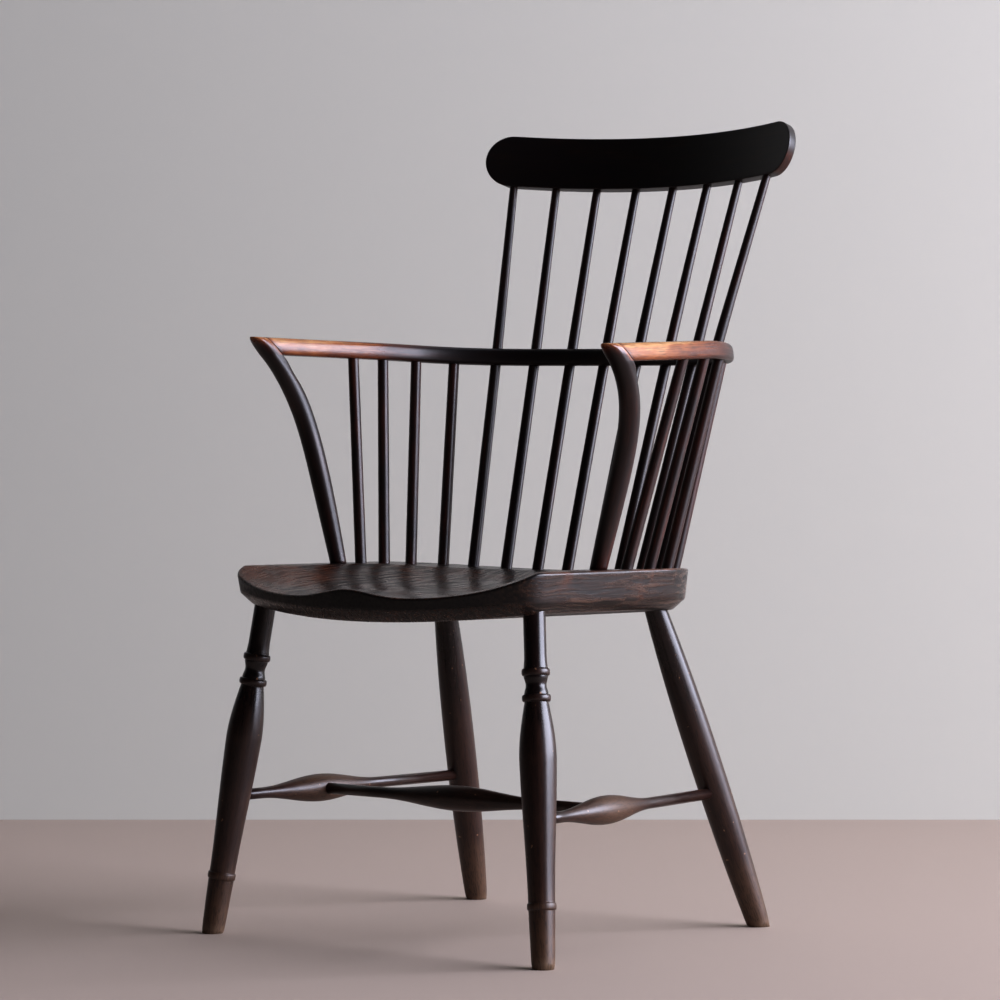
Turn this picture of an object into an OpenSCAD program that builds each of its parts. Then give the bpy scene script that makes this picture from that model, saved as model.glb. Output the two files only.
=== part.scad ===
// Windsor armchair with a bent arm bow, a stick back and a bent comb.
// The origin is on the floor under the middle of the chair. The sitter faces -Y, so +X is the
// sitter's left. Every piece is built once on the +X side and mirrored where it has a twin.

/* [Seat] */
// Width of the seat across its sides
seat_w = 468; // [440:1:500]
// How far the front edge stands in front of the origin
seat_front = 309; // [295:1:330]
// How far the rear edge stands behind the origin
seat_rear = 154; // [145:1:170]
// Height of the flat rim above the floor, over the origin
seat_h = 446; // [430:1:470]
// Thickness of the seat at its sides, over the origin
seat_t = 45; // [42:1:56]
// Backward fall of the rim, in degrees
rim_fall = 0.7; // [0:0.05:2]
// Rise of the rim towards the sitter's left, in degrees
rim_roll = 0.5; // [-1:0.05:1]
// How far the board dips behind the sitter, in the middle
rear_dip = 10.5; // [0:0.5:12]
// Backward fall of the underside, in degrees
under_fall = 0.8; // [0:0.05:2]
// How far the middle of the underside hangs below its sides
under_belly = 16; // [0:1:18]
// Radius of the bowed front edge
front_edge_r = 510; // [420:10:700]
// Radius of the front corners
front_corner_r = 35; // [25:1:50]
// Radius of the rear edge
rear_edge_r = 361; // [330:1:420]
// Radius of the rear corners
rear_corner_r = 130; // [110:1:150]
// Depth of the hollow below the rim, over the origin
saddle_depth = 28.5; // [10:0.5:30]
// Width of the hollow where the sitter's hips rest
saddle_w = 380; // [330:1:388]
// Distance from the rear edge of the seat to the hollow
saddle_deck = 42; // [36:1:60]
// How far the middle of the hollow's mouth lies to the sitter's right
saddle_drift = 8; // [-10:1:10]
// Height of the ridge between the thighs, at the front edge
pommel_h = 10.5; // [0:0.5:14]
// Half width of that ridge
pommel_w = 50; // [20:1:60]
// Rounding of the top edge
rim_round = 3; // [1:0.5:7]
// How far the side wall leans in from top to bottom
wall_lean = 3.5; // [0:0.5:10]
// Width of the bevel under the edge
bevel_w = 15; // [8:1:22]
// Height of the bevel under the edge
bevel_h = 13.5; // [6:0.5:16]

/* [Legs] */
// Height of the entry places of the legs above the floor, at the underside of the seat
leg_top_h = 400; // [390:1:410]
// Distance from the seat's side to a front leg's axis, at its entry
front_leg_side = 26; // [22:1:39]
// Distance from the seat's front edge to that axis
front_leg_back = 87; // [75:1:99]
// How far a front leg splays sideways on its way to the floor
front_splay_x = 48; // [22:1:72]
// How far it splays forwards
front_splay_y = 44; // [23:1:68]
// Distance from the seat's side to a rear leg's axis, at its entry
rear_leg_side = 69; // [62:1:84]
// Distance from the seat's rear edge to that axis
rear_leg_ahead = 88; // [80:1:104]
// How far a rear leg splays sideways on its way to the floor
rear_splay_x = 59; // [35:1:85]
// How far it splays backwards
rear_splay_y = 138; // [114:1:159]
// Depth of a leg socket, from the entry height
leg_socket = 30; // [24:1:32]

/* [Front leg turning] */
// Diameter at the foot
front_foot_d = 27; // [24:0.5:34]
// Diameter under the low collar
front_shank_d = 31; // [27:0.5:36]
// Distance of the low collar from the floor, along the leg
low_collar_s = 71; // [55:1:90]
// Diameter of the low collar
low_collar_d = 34; // [32:0.5:40]
// Distance of the thickest place of the vase
vase_s = 240; // [220:1:255]
// Diameter of the vase
vase_d = 43.4; // [38:0.2:50]
// Distance of the middle collar
mid_collar_s = 310; // [305:1:312]
// Diameter of the middle collar
mid_collar_d = 33.6; // [31:0.2:38]
// Distance of the waist between the collars
waist_s = 325; // [323:1:327]
// Diameter of the waist
waist_d = 24; // [20:0.5:27]
// Distance of the high collar
high_collar_s = 340; // [338:1:344]
// Diameter of the high collar
high_collar_d = 33; // [30:0.2:38]
// Width of a collar
collar_w = 8; // [5:0.5:9]
// Diameter of the neck and of its tenon
front_neck_d = 26; // [23:0.5:29]

/* [Rear leg turning] */
// Diameter at the foot
rear_foot_d = 27.4; // [24:0.2:32]
// Largest diameter
rear_belly_d = 38.6; // [34:0.2:44]
// Distance of the thickest place from the floor, along the leg
rear_belly_s = 215; // [190:1:240]
// Diameter of the tenon
rear_neck_d = 26; // [23:0.5:29]

/* [Stretchers] */
// Height of the side stretchers
stretcher_h = 167.5; // [140:0.5:190]
// Diameter of a stretcher's ends
stretcher_end_d = 13.5; // [12:0.5:16]
// Largest diameter of a side stretcher
side_swell_d = 34; // [30:0.5:38]
// Half length of a side stretcher's swelling
side_swell_l = 98; // [80:1:110]
// Distance of that swelling's middle from the front leg
side_swell_s = 142; // [125:1:155]
// Largest diameter of the cross stretcher
cross_swell_d = 31; // [26:0.5:36]
// Half length of the cross stretcher's swelling
cross_swell_l = 122; // [100:1:130]
// How far a stretcher's tenon goes past the axis of what it enters
stretcher_past = 5; // [3:0.5:7]

/* [Arm bow] */
// Height of the bow's top over the floor, at the middle of the back
arm_h = 711.5; // [690:0.5:740]
// How far the arms lie above the back of the bow, where they start
arm_lift = 7.5; // [0:0.5:12]
// Rise of the arms towards the front, in degrees
arm_rise = 0.25; // [-1:0.05:2]
// Twist of the bow: how much more the right arm rises than that and the left arm less, in degrees
arm_twist = 1.45; // [-2:0.05:2]
// How far the bow's middle line stands behind the origin
bow_rear = 214.7; // [200:0.1:225]
// Width of the bow, seen from above
bow_w = 25; // [23:0.5:30]
// Thickness of the bow
bow_t = 21.5; // [19:0.5:25]
// Rounding of the bow's upper edges
bow_round = 9; // [3:0.5:9.5]
// Rounding of the bow's lower edges
bow_low_round = 5; // [3:0.5:9.5]
// Radius of the bow behind the sitter
bow_rear_r = 512; // [490:1:540]
// Half angle of that bend
bow_rear_a = 13.1; // [11:0.1:14]
// Radius of the two tight bends
bow_bend_r = 180; // [172:1:190]
// Heading where the tight bends end, in degrees
bow_bend_a = 82.6; // [80:0.1:85]
// Radius of the arms
arm_r = 2500; // [1800:100:6000]
// How far the arm tips stand in front of the origin
arm_tip = 177; // [165:1:195]
// Length of the tip that belongs to the support, along the top
scarf_top = 20; // [14:1:28]
// The same length along the underside
scarf_low = 46; // [38:1:56]

/* [Arm supports] */
// Distance from the seat's side to a support's axis
support_side = 31.5; // [27:0.5:36]
// Forward distance of a support on the seat
support_y = 93.5; // [85:0.5:105]
// Diameter on the seat
support_d = 20; // [18:0.5:24]
// Diameter from mid height up
support_top_d = 25; // [22:0.5:27]
// How far the support bows outwards at mid height, as a share of its lean
support_bow = 0.03; // [0:0.01:0.15]
// How late it sweeps forwards. It leans evenly at 1, and only near the top at 7
support_sweep = 5.5; // [4:0.1:7]
// Rounding of its very tip
tip_round = 2; // [1:0.5:4]
// Diameter of its tenon
support_tenon_d = 16; // [14:0.5:17.5]

/* [Sticks] */
// Spacing of the back sticks on the seat, in degrees round the seat's back
seat_pitch_a = 7.25; // [6.8:0.05:7.4]
// Distance of the back sticks from the seat's rear edge
stick_inset = 18; // [17:0.5:22]
// Distance from the seat's side to the arm sticks
arm_stick_side = 26.5; // [22:0.5:29]
// Forward distance of the second arm stick on the seat
arm_stick_y = 0; // [-6:1:6]
// Spacing of the arm sticks on the seat
arm_stick_spacing = 45; // [41:1:47]
// Radius of the curve on which the rear arm sticks stand
arm_stick_r = 150; // [140:1:165]
// Spacing of all the sticks along the bow
bow_spacing = 51.2; // [49:0.1:53]
// Spacing of the back sticks along the comb
comb_spacing = 58.7; // [52:0.1:60]
// How far the back sticks stand to the sitter's left of the middle of the bow and the comb
stick_shift = 3; // [-4:0.5:4]
// Diameter of a back stick at the seat
stick_d = 14.4; // [12:0.2:15]
// Diameter of a back stick in the bow
stick_bow_d = 13.2; // [11:0.2:14]
// Diameter of a back stick at the comb
stick_comb_d = 10.2; // [8:0.2:11]
// Diameter of an arm stick at the seat
arm_stick_d = 14.4; // [12:0.2:15]
// Diameter of an arm stick at the bow
arm_stick_bow_d = 13.4; // [11:0.2:14]
// Depth of a stick's socket in the seat
seat_socket = 28; // [20:1:30]

/* [Comb] */
// Height of the comb's lower edge, at its middle
comb_h = 914; // [880:1:960]
// How far the comb's lower edge stands behind the origin
comb_rear = 284.3; // [270:0.1:300]
// Backward rake of the comb, in degrees
comb_rake = 13.6; // [12:0.1:20]
// Rise of the comb towards the sitter's left, in degrees
comb_tilt = 0.35; // [-1:0.05:1]
// Height of the board, along its rake
comb_board = 66.5; // [58:0.5:75]
// Width between the round ends
comb_w = 483; // [470:1:500]
// How far the comb sits to the sitter's left of the chair's middle
comb_side = 6.5; // [-8:0.5:8]
// Radius to which the board is bent
comb_r = 554; // [500:1:620]
// Thickness at the middle
comb_t = 18; // [16:0.5:22]
// Thickness at the ends
comb_end_t = 13; // [12:0.5:16]
// Depth of a stick's socket in the comb
comb_socket = 28; // [20:1:36]

/* [Fits] */
// Play between a tenon and its socket, on each side
fit = 0.15; // [0.1:0.05:0.3]
// Room left at the bottom of a socket
socket_room = 1; // [0.5:0.5:2]

/* [Hidden] */
$fn = 64;
elm = [0.20, 0.13, 0.10];
dark_ash = [0.10, 0.07, 0.06];
worn_yew = [0.40, 0.24, 0.15];
turned_beech = [0.24, 0.14, 0.10];
sides = ["left", "right"];

// Points, arcs and steps
function unit(v) = v / norm(v);
function toward(p, q, l) = p + unit(q - p) * l;
function mix(a, b, t) = a + (b - a) * t;
function arc_point(c, r, a) = [c[0] + r * sin(a), c[1] + r * cos(a)];
function arc_deg(l, r) = l / r * 180 / PI;
function arc_len(a, r) = a * PI / 180 * r;
function steps_between(a, b, n) = [for (i = [0 : n]) mix(a, b, i / n)];

// Closed solid through a stack of rings with as many points each, low ring first
module loft(rings) {
    n = len(rings[0]);
    m = len(rings);
    points = [for (r = rings) for (p = r) p];
    faces = concat(
        [
            for (j = [0 : m - 2]) for (i = [0 : n - 1])
                let (a = j * n + i, b = j * n + (i + 1) % n)
                for (f = [[a, a + n, b], [b, a + n, b + n]]) f
        ],
        [for (i = [1 : n - 2]) [0, i, i + 1]],
        [for (i = [1 : n - 2]) [(m - 1) * n, (m - 1) * n + i + 1, (m - 1) * n + i]]
    );
    polyhedron(points, faces, convexity = 6);
}
// Places a shape drawn up +Z so that it runs from p towards q
module along(p, q) {
    d = q - p;
    translate(p)
        rotate([0, acos(d[2] / norm(d)), atan2(d[1], d[0])])
            children();
}
// Places a piece of the +X side on either side. Its hand is 1 on the left and -1 on the right
module on_side(side) {
    if (side == "left") children();
    if (side == "right") mirror([1, 0, 0]) children();
}
function hand_of(side) = side == "left" ? 1 : -1;

// Seat outline: four tangent arcs on the +X side, each given by its centre
seat_x = seat_w / 2;
front_corner_c = [
    seat_x - front_corner_r,
    front_edge_r - seat_front
        - sqrt(pow(front_edge_r - front_corner_r, 2) - pow(seat_x - front_corner_r, 2))
];
front_edge_a = asin(front_corner_c[0] / (front_edge_r - front_corner_r));
rear_edge_c = [0, seat_rear - rear_edge_r];
rear_corner_c = [
    seat_x - rear_corner_r,
    rear_edge_c[1] + sqrt(pow(rear_edge_r - rear_corner_r, 2) - pow(seat_x - rear_corner_r, 2))
];
rear_edge_a = asin(rear_corner_c[0] / (rear_edge_r - rear_corner_r));
// Steps along each stretch of half the outline, rear to front
edge_steps = 8;
corner_steps = 8;
side_steps = 5;
function half_outline(inset) = concat(
    [for (i = [0 : edge_steps - 1])
        arc_point(rear_edge_c, rear_edge_r - inset, rear_edge_a * i / edge_steps)],
    [for (i = [0 : corner_steps - 1])
        arc_point(rear_corner_c, rear_corner_r - inset,
            mix(rear_edge_a, 90, i / corner_steps))],
    [for (i = [0 : side_steps - 1])
        [seat_x - inset, mix(rear_corner_c[1], front_corner_c[1], i / side_steps)]],
    [for (i = [0 : corner_steps - 1])
        arc_point(front_corner_c, front_corner_r - inset,
            mix(90, 180 - front_edge_a, i / corner_steps))],
    [for (i = [0 : edge_steps])
        arc_point([0, front_edge_r - seat_front], front_edge_r - inset,
            mix(180 - front_edge_a, 180, i / edge_steps))]
);
function outline(inset) =
    let (half = half_outline(inset))
    concat(half, [for (i = [len(half) - 2 : -1 : 1]) [-half[i][0], half[i][1]]]);

// Seat surfaces. The rear dip sets in behind the sitter's hips and is full at dip_y
hip_y = -90;
dip_y = 60;
function smooth(t) = let (u = min(1, max(0, t))) u * u * (3 - 2 * u);
function rim_z(x, y) =
    seat_h - tan(rim_fall) * y + tan(rim_roll) * x
        - rear_dip * (1 - pow(x / seat_x, 2)) * smooth((y - hip_y) / (dip_y - hip_y));
function under_z(x, y) =
    seat_h - seat_t - tan(under_fall) * y - under_belly * (1 - pow(x / seat_x, 2));
// The hollow is round behind the hips. In front of them it drifts sideways and opens out, so that
// the front corners are worn down with it
saddle_mouth_w = 1.8 * saddle_w;
saddle_mouth_power = 3.4;
saddle_wall_power = 1.5;
saddle_rear = seat_rear - saddle_deck;
function forward_of(line_y, y) = max(0, line_y - y) / (seat_front + line_y);
function from_middle(x, y) = x + saddle_drift * forward_of(hip_y, y);
function saddle_half_w(y) =
    mix(saddle_w, saddle_mouth_w, pow(forward_of(hip_y, y), saddle_mouth_power)) / 2;
function saddle_q(x, y) =
    norm([from_middle(x, y) / saddle_half_w(y), max(0, y - hip_y) / (saddle_rear - hip_y)]);
function saddle_share(q) = q < 1 ? cos(90 * pow(q, saddle_wall_power)) : 0;
function saddle_floor(x) = seat_h - saddle_depth + tan(rim_roll) * x;
pommel_y = -44;
pommel_power = 1.5;
function pommel(x, y) =
    pommel_h * exp(-pow(from_middle(x, y) / pommel_w, 2))
        * pow(forward_of(pommel_y, y), pommel_power);
function top_z(x, y) =
    mix(rim_z(x, y), saddle_floor(x), saddle_share(saddle_q(x, y))) + pommel(x, y);

// Rings of the seat board: under the board, up its wall, then over its top
seat_middle = [0, -58];
under_rings = [0.02, 0.4, 0.75];
top_rings = [0.94, 0.87, 0.78, 0.66, 0.52, 0.35, 0.18, 0.02];
edge_softness = 0.3;
function shrunk(ring, k) =
    [for (p = ring) [mix(seat_middle[0], p[0], k), mix(seat_middle[1], p[1], k)]];
function under_ring(ring) = [for (p = ring) [p[0], p[1], under_z(p[0], p[1])]];
function top_ring(ring) = [for (p = ring) [p[0], p[1], top_z(p[0], p[1])]];
function shifted_ring(ring, level, up) =
    [for (i = [0 : len(ring) - 1]) [ring[i][0], ring[i][1], level[i][2] + up]];
module seat_board() {
    under = outline(wall_lean + bevel_w);
    top = outline(rim_round);
    loft(concat(
        [for (k = under_rings) under_ring(shrunk(under, k))],
        [
            under_ring(under),
            shifted_ring(outline(wall_lean), under_ring(under), bevel_h),
            shifted_ring(outline(0), top_ring(top), -rim_round),
            shifted_ring(outline(rim_round * edge_softness), top_ring(top),
                -rim_round * edge_softness),
            top_ring(top)
        ],
        [for (k = top_rings) top_ring(shrunk(top, k))]
    ));
}

// Legs, turned about their axes from below the floor and cut off level with it
front_top = [seat_x - front_leg_side, front_leg_back - seat_front, leg_top_h];
front_foot = front_top + [front_splay_x, -front_splay_y, -leg_top_h];
rear_top = [seat_x - rear_leg_side, seat_rear - rear_leg_ahead, leg_top_h];
rear_foot = rear_top + [rear_splay_x, rear_splay_y, -leg_top_h];
front_len = norm(front_top - front_foot);
rear_len = norm(rear_top - rear_foot);
leg_tenon = leg_socket - socket_room;
below_floor = 12;
// A collar is a half round bead on a cylinder
function collar(s, d, base_d) = [
    for (a = [0 : 20 : 180])
        [base_d / 2 + (d - base_d) / 2 * sqrt(sin(a)), s - collar_w / 2 * cos(a)]
];
collar_gap = 1;
vase_foot_s = low_collar_s + collar_w / 2 + collar_gap;
vase_top_s = mid_collar_s - collar_w / 2 - collar_gap;
vase_top_d = 28;
waist_from = mid_collar_s + collar_w / 2 + collar_gap / 2;
waist_to = high_collar_s - collar_w / 2 - collar_gap / 2;
neck_l = 16;
front_profile = concat(
    [
        [0, -below_floor],
        [front_foot_d / 2, -below_floor],
        [front_foot_d / 2, 0],
        [(front_foot_d + front_shank_d) / 4, low_collar_s / 2],
        [front_shank_d / 2, low_collar_s - collar_w / 2 - collar_gap]
    ],
    collar(low_collar_s, low_collar_d, front_shank_d),
    [for (t = steps_between(0, 1, 14))
        [mix(front_shank_d, vase_d, (pow(sin(90 * t), 1.7) + pow(t, 1.2)) / 2) / 2,
            mix(vase_foot_s, vase_s, t)]],
    [for (t = steps_between(0.08, 1, 12))
        [mix(vase_top_d, vase_d, cos(90 * t)) / 2, mix(vase_s, vase_top_s, t)]],
    collar(mid_collar_s, mid_collar_d, vase_top_d),
    [for (t = steps_between(0, 1, 8))
        [mix(waist_d, vase_top_d, pow(cos(90 * t), 2)) / 2, mix(waist_from, waist_s, t)]],
    [for (t = steps_between(0.1, 1, 8))
        [mix(waist_d, vase_top_d, pow(sin(90 * t), 2)) / 2, mix(waist_s, waist_to, t)]],
    collar(high_collar_s, high_collar_d, vase_top_d),
    [for (t = steps_between(0, 1, 5))
        [mix(front_neck_d, vase_top_d, pow(1 - t, 2)) / 2,
            high_collar_s + collar_w / 2 + collar_gap + neck_l * t]],
    [[front_neck_d / 2, front_len + leg_tenon], [0, front_len + leg_tenon]]
);
rear_taper = 2.2;
rear_profile = concat(
    [[0, -below_floor], [rear_foot_d / 2, -below_floor]],
    [for (t = steps_between(0, 1, 14))
        [mix(rear_belly_d, rear_foot_d, pow(1 - t, rear_taper)) / 2, rear_belly_s * t]],
    [for (t = steps_between(0.1, 1, 13))
        [mix(rear_belly_d, rear_neck_d, pow(t, rear_taper)) / 2, mix(rear_belly_s, rear_len, t)]],
    [[rear_neck_d / 2, rear_len + leg_tenon], [0, rear_len + leg_tenon]]
);
module turned(profile) {
    rotate_extrude() polygon(profile);
}
module above_floor() {
    side = 1000;
    difference() {
        children();
        translate([0, 0, -side / 2]) cube(side, center = true);
    }
}
module front_leg(side) {
    color(turned_beech)
        on_side(side)
            above_floor()
                difference() {
                    along(front_foot, front_top) turned(front_profile);
                    stretcher_bore(side_rear, side_front);
                }
}
module rear_leg(side) {
    color(turned_beech)
        on_side(side)
            above_floor()
                difference() {
                    along(rear_foot, rear_top) turned(rear_profile);
                    stretcher_bore(side_front, side_rear);
                }
}

// Stretchers: their ends lie on the axes of the pieces that they enter
side_front = mix(front_foot, front_top, stretcher_h / leg_top_h);
side_rear = mix(rear_foot, rear_top, stretcher_h / leg_top_h);
side_len = norm(side_rear - side_front);
cross_left = toward(side_front, side_rear, side_swell_s);
cross_right = [-cross_left[0], cross_left[1], cross_left[2]];
cross_len = norm(cross_left - cross_right);
function swell_profile(len, centre, half_l, d) = concat(
    [[0, -stretcher_past], [stretcher_end_d / 2, -stretcher_past]],
    [for (t = steps_between(-1, 1, 24))
        [mix(stretcher_end_d, d, pow(cos(90 * t), 2)) / 2, centre + half_l * t]],
    [[stretcher_end_d / 2, len + stretcher_past], [0, len + stretcher_past]]
);
// Socket for a stretcher that comes from p and ends a little past q. It opens at the surface
module stretcher_bore(p, q) {
    depth = vase_d + stretcher_past;
    along(p, q)
        translate([0, 0, norm(q - p) + stretcher_past + socket_room - depth])
            cylinder(h = depth, d = stretcher_end_d + 2 * fit);
}
module side_stretcher(side) {
    color(turned_beech)
        on_side(side)
            difference() {
                along(side_front, side_rear)
                    turned(swell_profile(side_len, side_swell_s, side_swell_l, side_swell_d));
                stretcher_bore(cross_right, cross_left);
            }
}
module cross_stretcher() {
    color(turned_beech)
        along(cross_right, cross_left)
            turned(swell_profile(cross_len, cross_len / 2, cross_swell_l, cross_swell_d));
}

// Arm bow. Its plan is three tangent arcs on the +X side, seen from the middle of the back
bow_z = arm_h - bow_t / 2;
bow_rear_c = [0, -bow_rear_r];
bow_bend_c = arc_point(bow_rear_c, bow_rear_r - bow_bend_r, bow_rear_a);
arm_c = arc_point(bow_bend_c, bow_bend_r - arm_r, bow_bend_a);
tip_y = -arm_tip - bow_rear;
arm_tip_a = acos((tip_y - arm_c[1]) / arm_r);
rear_l = arc_len(bow_rear_a, bow_rear_r);
bend_l = arc_len(bow_bend_a - bow_rear_a, bow_bend_r);
bow_half_l = rear_l + bend_l + arc_len(arm_tip_a - bow_bend_a, arm_r);
// Place on the plan, and heading in degrees clockwise from +Y, at the distance s from the back
function bow_plan(s) =
    s < rear_l
        ? arc_point(bow_rear_c, bow_rear_r, bow_heading(s))
        : s < rear_l + bend_l
            ? arc_point(bow_bend_c, bow_bend_r, bow_heading(s))
            : arc_point(arm_c, arm_r, bow_heading(s));
function bow_heading(s) =
    s < rear_l
        ? arc_deg(s, bow_rear_r)
        : s < rear_l + bend_l
            ? bow_rear_a + arc_deg(s - rear_l, bow_bend_r)
            : bow_bend_a + arc_deg(s - rear_l - bend_l, arm_r);
// The bow climbs over its bends, and from lift_y on each arm is straight with its own slope
lift_y = 172;
function arm_slope(hand) = tan(arm_rise - hand * arm_twist);
function bow_lift(f, hand) =
    let (t = min(1, f / lift_y))
    arm_lift * smooth(t)
        + arm_slope(hand) * (lift_y * t * t * (t - 1) + max(0, f - lift_y));
function bow_to_world(p, hand) =
    [p[0], bow_rear + p[1], bow_z + bow_lift(-p[1], hand) + p[2]];
function bow_point(s, hand) = let (p = bow_plan(s)) bow_to_world([p[0], p[1], 0], hand);
// Rounded oblong, as steps outwards and upwards from the middle line
bow_section = [
    for (q = [[1, 1, 0], [1, -1, 90], [-1, -1, 180], [-1, 1, 270]])
        let (r = q[1] > 0 ? bow_round : bow_low_round)
        for (a = [0 : 30 : 90])
            [
                q[0] * (bow_w / 2 - r) + r * sin(q[2] + a),
                q[1] * (bow_t / 2 - r) + r * cos(q[2] + a)
            ]
];
function bow_ring(s) =
    let (p = bow_plan(abs(s)), hand = s < 0 ? -1 : 1, h = bow_heading(abs(s)))
    [for (e = bow_section)
        bow_to_world([hand * (p[0] + e[0] * sin(h)), p[1] + e[0] * cos(h), e[1]], hand)];
module bow_band() {
    half = concat(
        steps_between(0, rear_l, 6),
        [for (t = steps_between(1 / 20, 1, 19)) rear_l + bend_l * t],
        [for (t = steps_between(1 / 8, 1, 7)) mix(rear_l + bend_l, bow_half_l, t)]
    );
    loft([for (s = concat([for (i = [len(half) - 1 : -1 : 1]) -half[i]], half)) bow_ring(s)]);
}
// Scarf at an arm tip, drawn on the side view. The support takes what lies in front of it
scarf_reach = 30;
function side_point(y, up, hand) = let (p = bow_to_world([0, y, up], hand)) [p[1], p[2]];
function scarf_line(hand) =
    let (
        a = side_point(tip_y + scarf_low, -bow_t / 2, hand),
        b = side_point(tip_y + scarf_top, bow_t / 2, hand)
    )
    [a, toward(a, b, -scarf_reach), toward(b, a, -scarf_reach)];
module side_view_cut(points) {
    rotate([90, 0, 90]) linear_extrude(height = seat_w) polygon(points);
}
module before_scarf(hand) {
    line = scarf_line(hand);
    side_view_cut([
        line[1], line[2],
        [-arm_tip - scarf_reach, line[2][1]], [-arm_tip - scarf_reach, line[1][1]]
    ]);
}
module behind_scarf(hand) {
    line = scarf_line(hand);
    rear = side_point(tip_y + 2 * scarf_low, -bow_t / 2, hand);
    side_view_cut([
        line[0] - [fit, fit], line[2] - [fit, 0], [rear[0], line[2][1]], rear - [0, fit]
    ]);
}
module arm_bow() {
    color(worn_yew)
        difference() {
            bow_band();
            for (side = sides)
                on_side(side) {
                    before_scarf(hand_of(side));
                    for (i = [0 : 3]) bow_bores(i, hand_of(side));
                }
        }
}
module bow_bores(i, hand) {
    back = bow_back_stick(i, hand);
    bore(back, back + comb_stick(i, hand) - seat_stick(i, hand), -bow_t, bow_t, stick_bow_d);
    bore(bow_arm_stick(i, hand), seat_arm_stick(i, hand), -bow_past - socket_room, bow_t,
        arm_stick_bow_d);
}

// Arm supports: level cuts through a round post, stacked up its sweep, then the arm's tip
support_x = seat_x - support_side;
function support_base(hand) = [support_x, -support_y, rim_z(hand * support_x, -support_y) + fit];
head_low = bow_plan(bow_half_l - scarf_low + support_top_d / 2);
function support_end(hand) = bow_to_world([head_low[0], head_low[1], -bow_t / 2], hand);
// Radius of the shaft, and its middle, at the share t of its height
full_width_t = 0.51;
function support_r(t) = mix(support_d, support_top_d, sin(90 * min(1, t / full_width_t))) / 2;
function support_c(t, hand) =
    let (base = support_base(hand), end = support_end(hand))
    [
        mix(base[0], end[0], t + support_bow * sin(180 * t * t)),
        mix(base[1], end[1], pow(t, support_sweep)),
        mix(base[2], end[2], t)
    ];
// How far the shaft leans sideways and backwards for each step up
lean_step = 0.01;
function support_lean(t, hand) =
    let (d = support_c(t + lean_step, hand) - support_c(max(0, t - lean_step), hand))
    [d[0], d[1]] / d[2];
// Steps sideways and backwards round a post: half an ellipse in front, and as square behind as
// the third value says, from 0 for round to 1
ring_points = 28;
square_corner = 0.3;
function post_section(a, b, square) = [
    for (i = [0 : ring_points - 1])
        let (
            c = cos(360 * i / ring_points),
            s = sin(360 * i / ring_points),
            e = mix(1, square_corner, square)
        )
        s < 0 ? [a * sign(c) * pow(abs(c), e), b * pow(-s, e)] : [a * c, -b * s]
];
// A level ring round c, tipped to a slope. It is stretched as a level cut through a leaning post is
function sloped_ring(c, section, lean, slope) =
    [for (d = section)
        let (p = d + lean * (lean * d) / 2) [c[0] + p[0], c[1] + p[1], c[2] - slope * p[1]]];
// Towards its top the shaft takes the shape of the arm's tip: squared off, and not stretched
square_t = 0.9;
stretch_t = 0.75;
function shaft_ring(t, hand) =
    let (r = support_r(t), stretch = 1 - smooth((t - stretch_t) / (1 - stretch_t)))
    sloped_ring(support_c(t, hand), post_section(r, r, smooth((t - square_t) / (1 - square_t))),
        support_lean(t, hand) * sqrt(stretch), mix(tan(rim_fall), arm_slope(hand), t));
// Ring of the tip, carried a little past the scarf, which then cuts it
scarf_over = 1.5;
function head_ring(h, inset, hand) =
    let (
        t = h / bow_t + 0.5,
        front = mix(scarf_low - support_top_d, 0, t) + inset * tip_round / bow_round,
        rear = mix(scarf_low, scarf_top, t) + scarf_over,
        c = bow_plan(bow_half_l - (front + rear) / 2)
    )
    [for (d = post_section(support_top_d / 2 - inset, (rear - front) / 2, 1))
        bow_to_world([c[0] + d[0], c[1] + d[1], h], hand)];
stick_tenon = seat_socket - socket_room;
function support_foot(hand) =
    let (base = support_base(hand), end = support_end(hand))
    toward(base, [end[0], base[1], end[2]], -stick_tenon);
module arm_support(side) {
    hand = hand_of(side);
    r = support_tenon_d / 2;
    color(dark_ash)
        on_side(side)
            difference() {
                loft(concat(
                    [for (c = [support_foot(hand), support_base(hand)])
                        sloped_ring(c, post_section(r, r, 0), [0, 0], tan(rim_fall))],
                    [for (t = steps_between(0, 1, 24)) shaft_ring(t, hand)],
                    [for (h = [-bow_t / 4, 0, bow_t / 2 - bow_round]) head_ring(h, 0, hand)],
                    [for (a = [30, 60, 90])
                        head_ring(bow_t / 2 - bow_round * (1 - sin(a)),
                            bow_round * (1 - cos(a)), hand)]
                ));
                behind_scarf(hand);
            }
}

// Ends of the sticks. i counts back sticks from the middle and arm sticks from the front
function on_rim(p, hand) = [p[0], p[1], rim_z(hand * p[0], p[1])];
function seat_stick(i, hand) =
    on_rim(arc_point(rear_edge_c, rear_edge_r - stick_inset, (i + 0.5) * seat_pitch_a), hand);
arm_stick_x = seat_x - arm_stick_side;
function seat_arm_stick(i, hand) =
    let (
        s = (i - 1) * arm_stick_spacing,
        p = s < 0
            ? [arm_stick_x, -arm_stick_y + s]
            : arc_point([arm_stick_x - arm_stick_r, -arm_stick_y], arm_stick_r,
                90 - arc_deg(s, arm_stick_r))
    )
    on_rim(p, hand);
function bow_back_stick(i, hand) = bow_point((i + 0.5) * bow_spacing + hand * stick_shift, hand);
function bow_arm_stick(i, hand) = bow_point((7.5 - i) * bow_spacing, hand);
function comb_stick(i, hand) =
    let (
        s = (i + 0.5) * comb_spacing + hand * stick_shift,
        p = arc_point([0, -comb_r], comb_r, arc_deg(s, comb_r))
    )
    [
        p[0],
        comb_rear + p[1] * cos(comb_rake),
        comb_h - p[1] * sin(comb_rake) + hand * p[0] * tan(comb_tilt)
    ];

// A back stick is sprung: straight to the bow, straight through it, and straight to the comb
bow_grip = 14;
stick_sides = 16;
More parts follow.
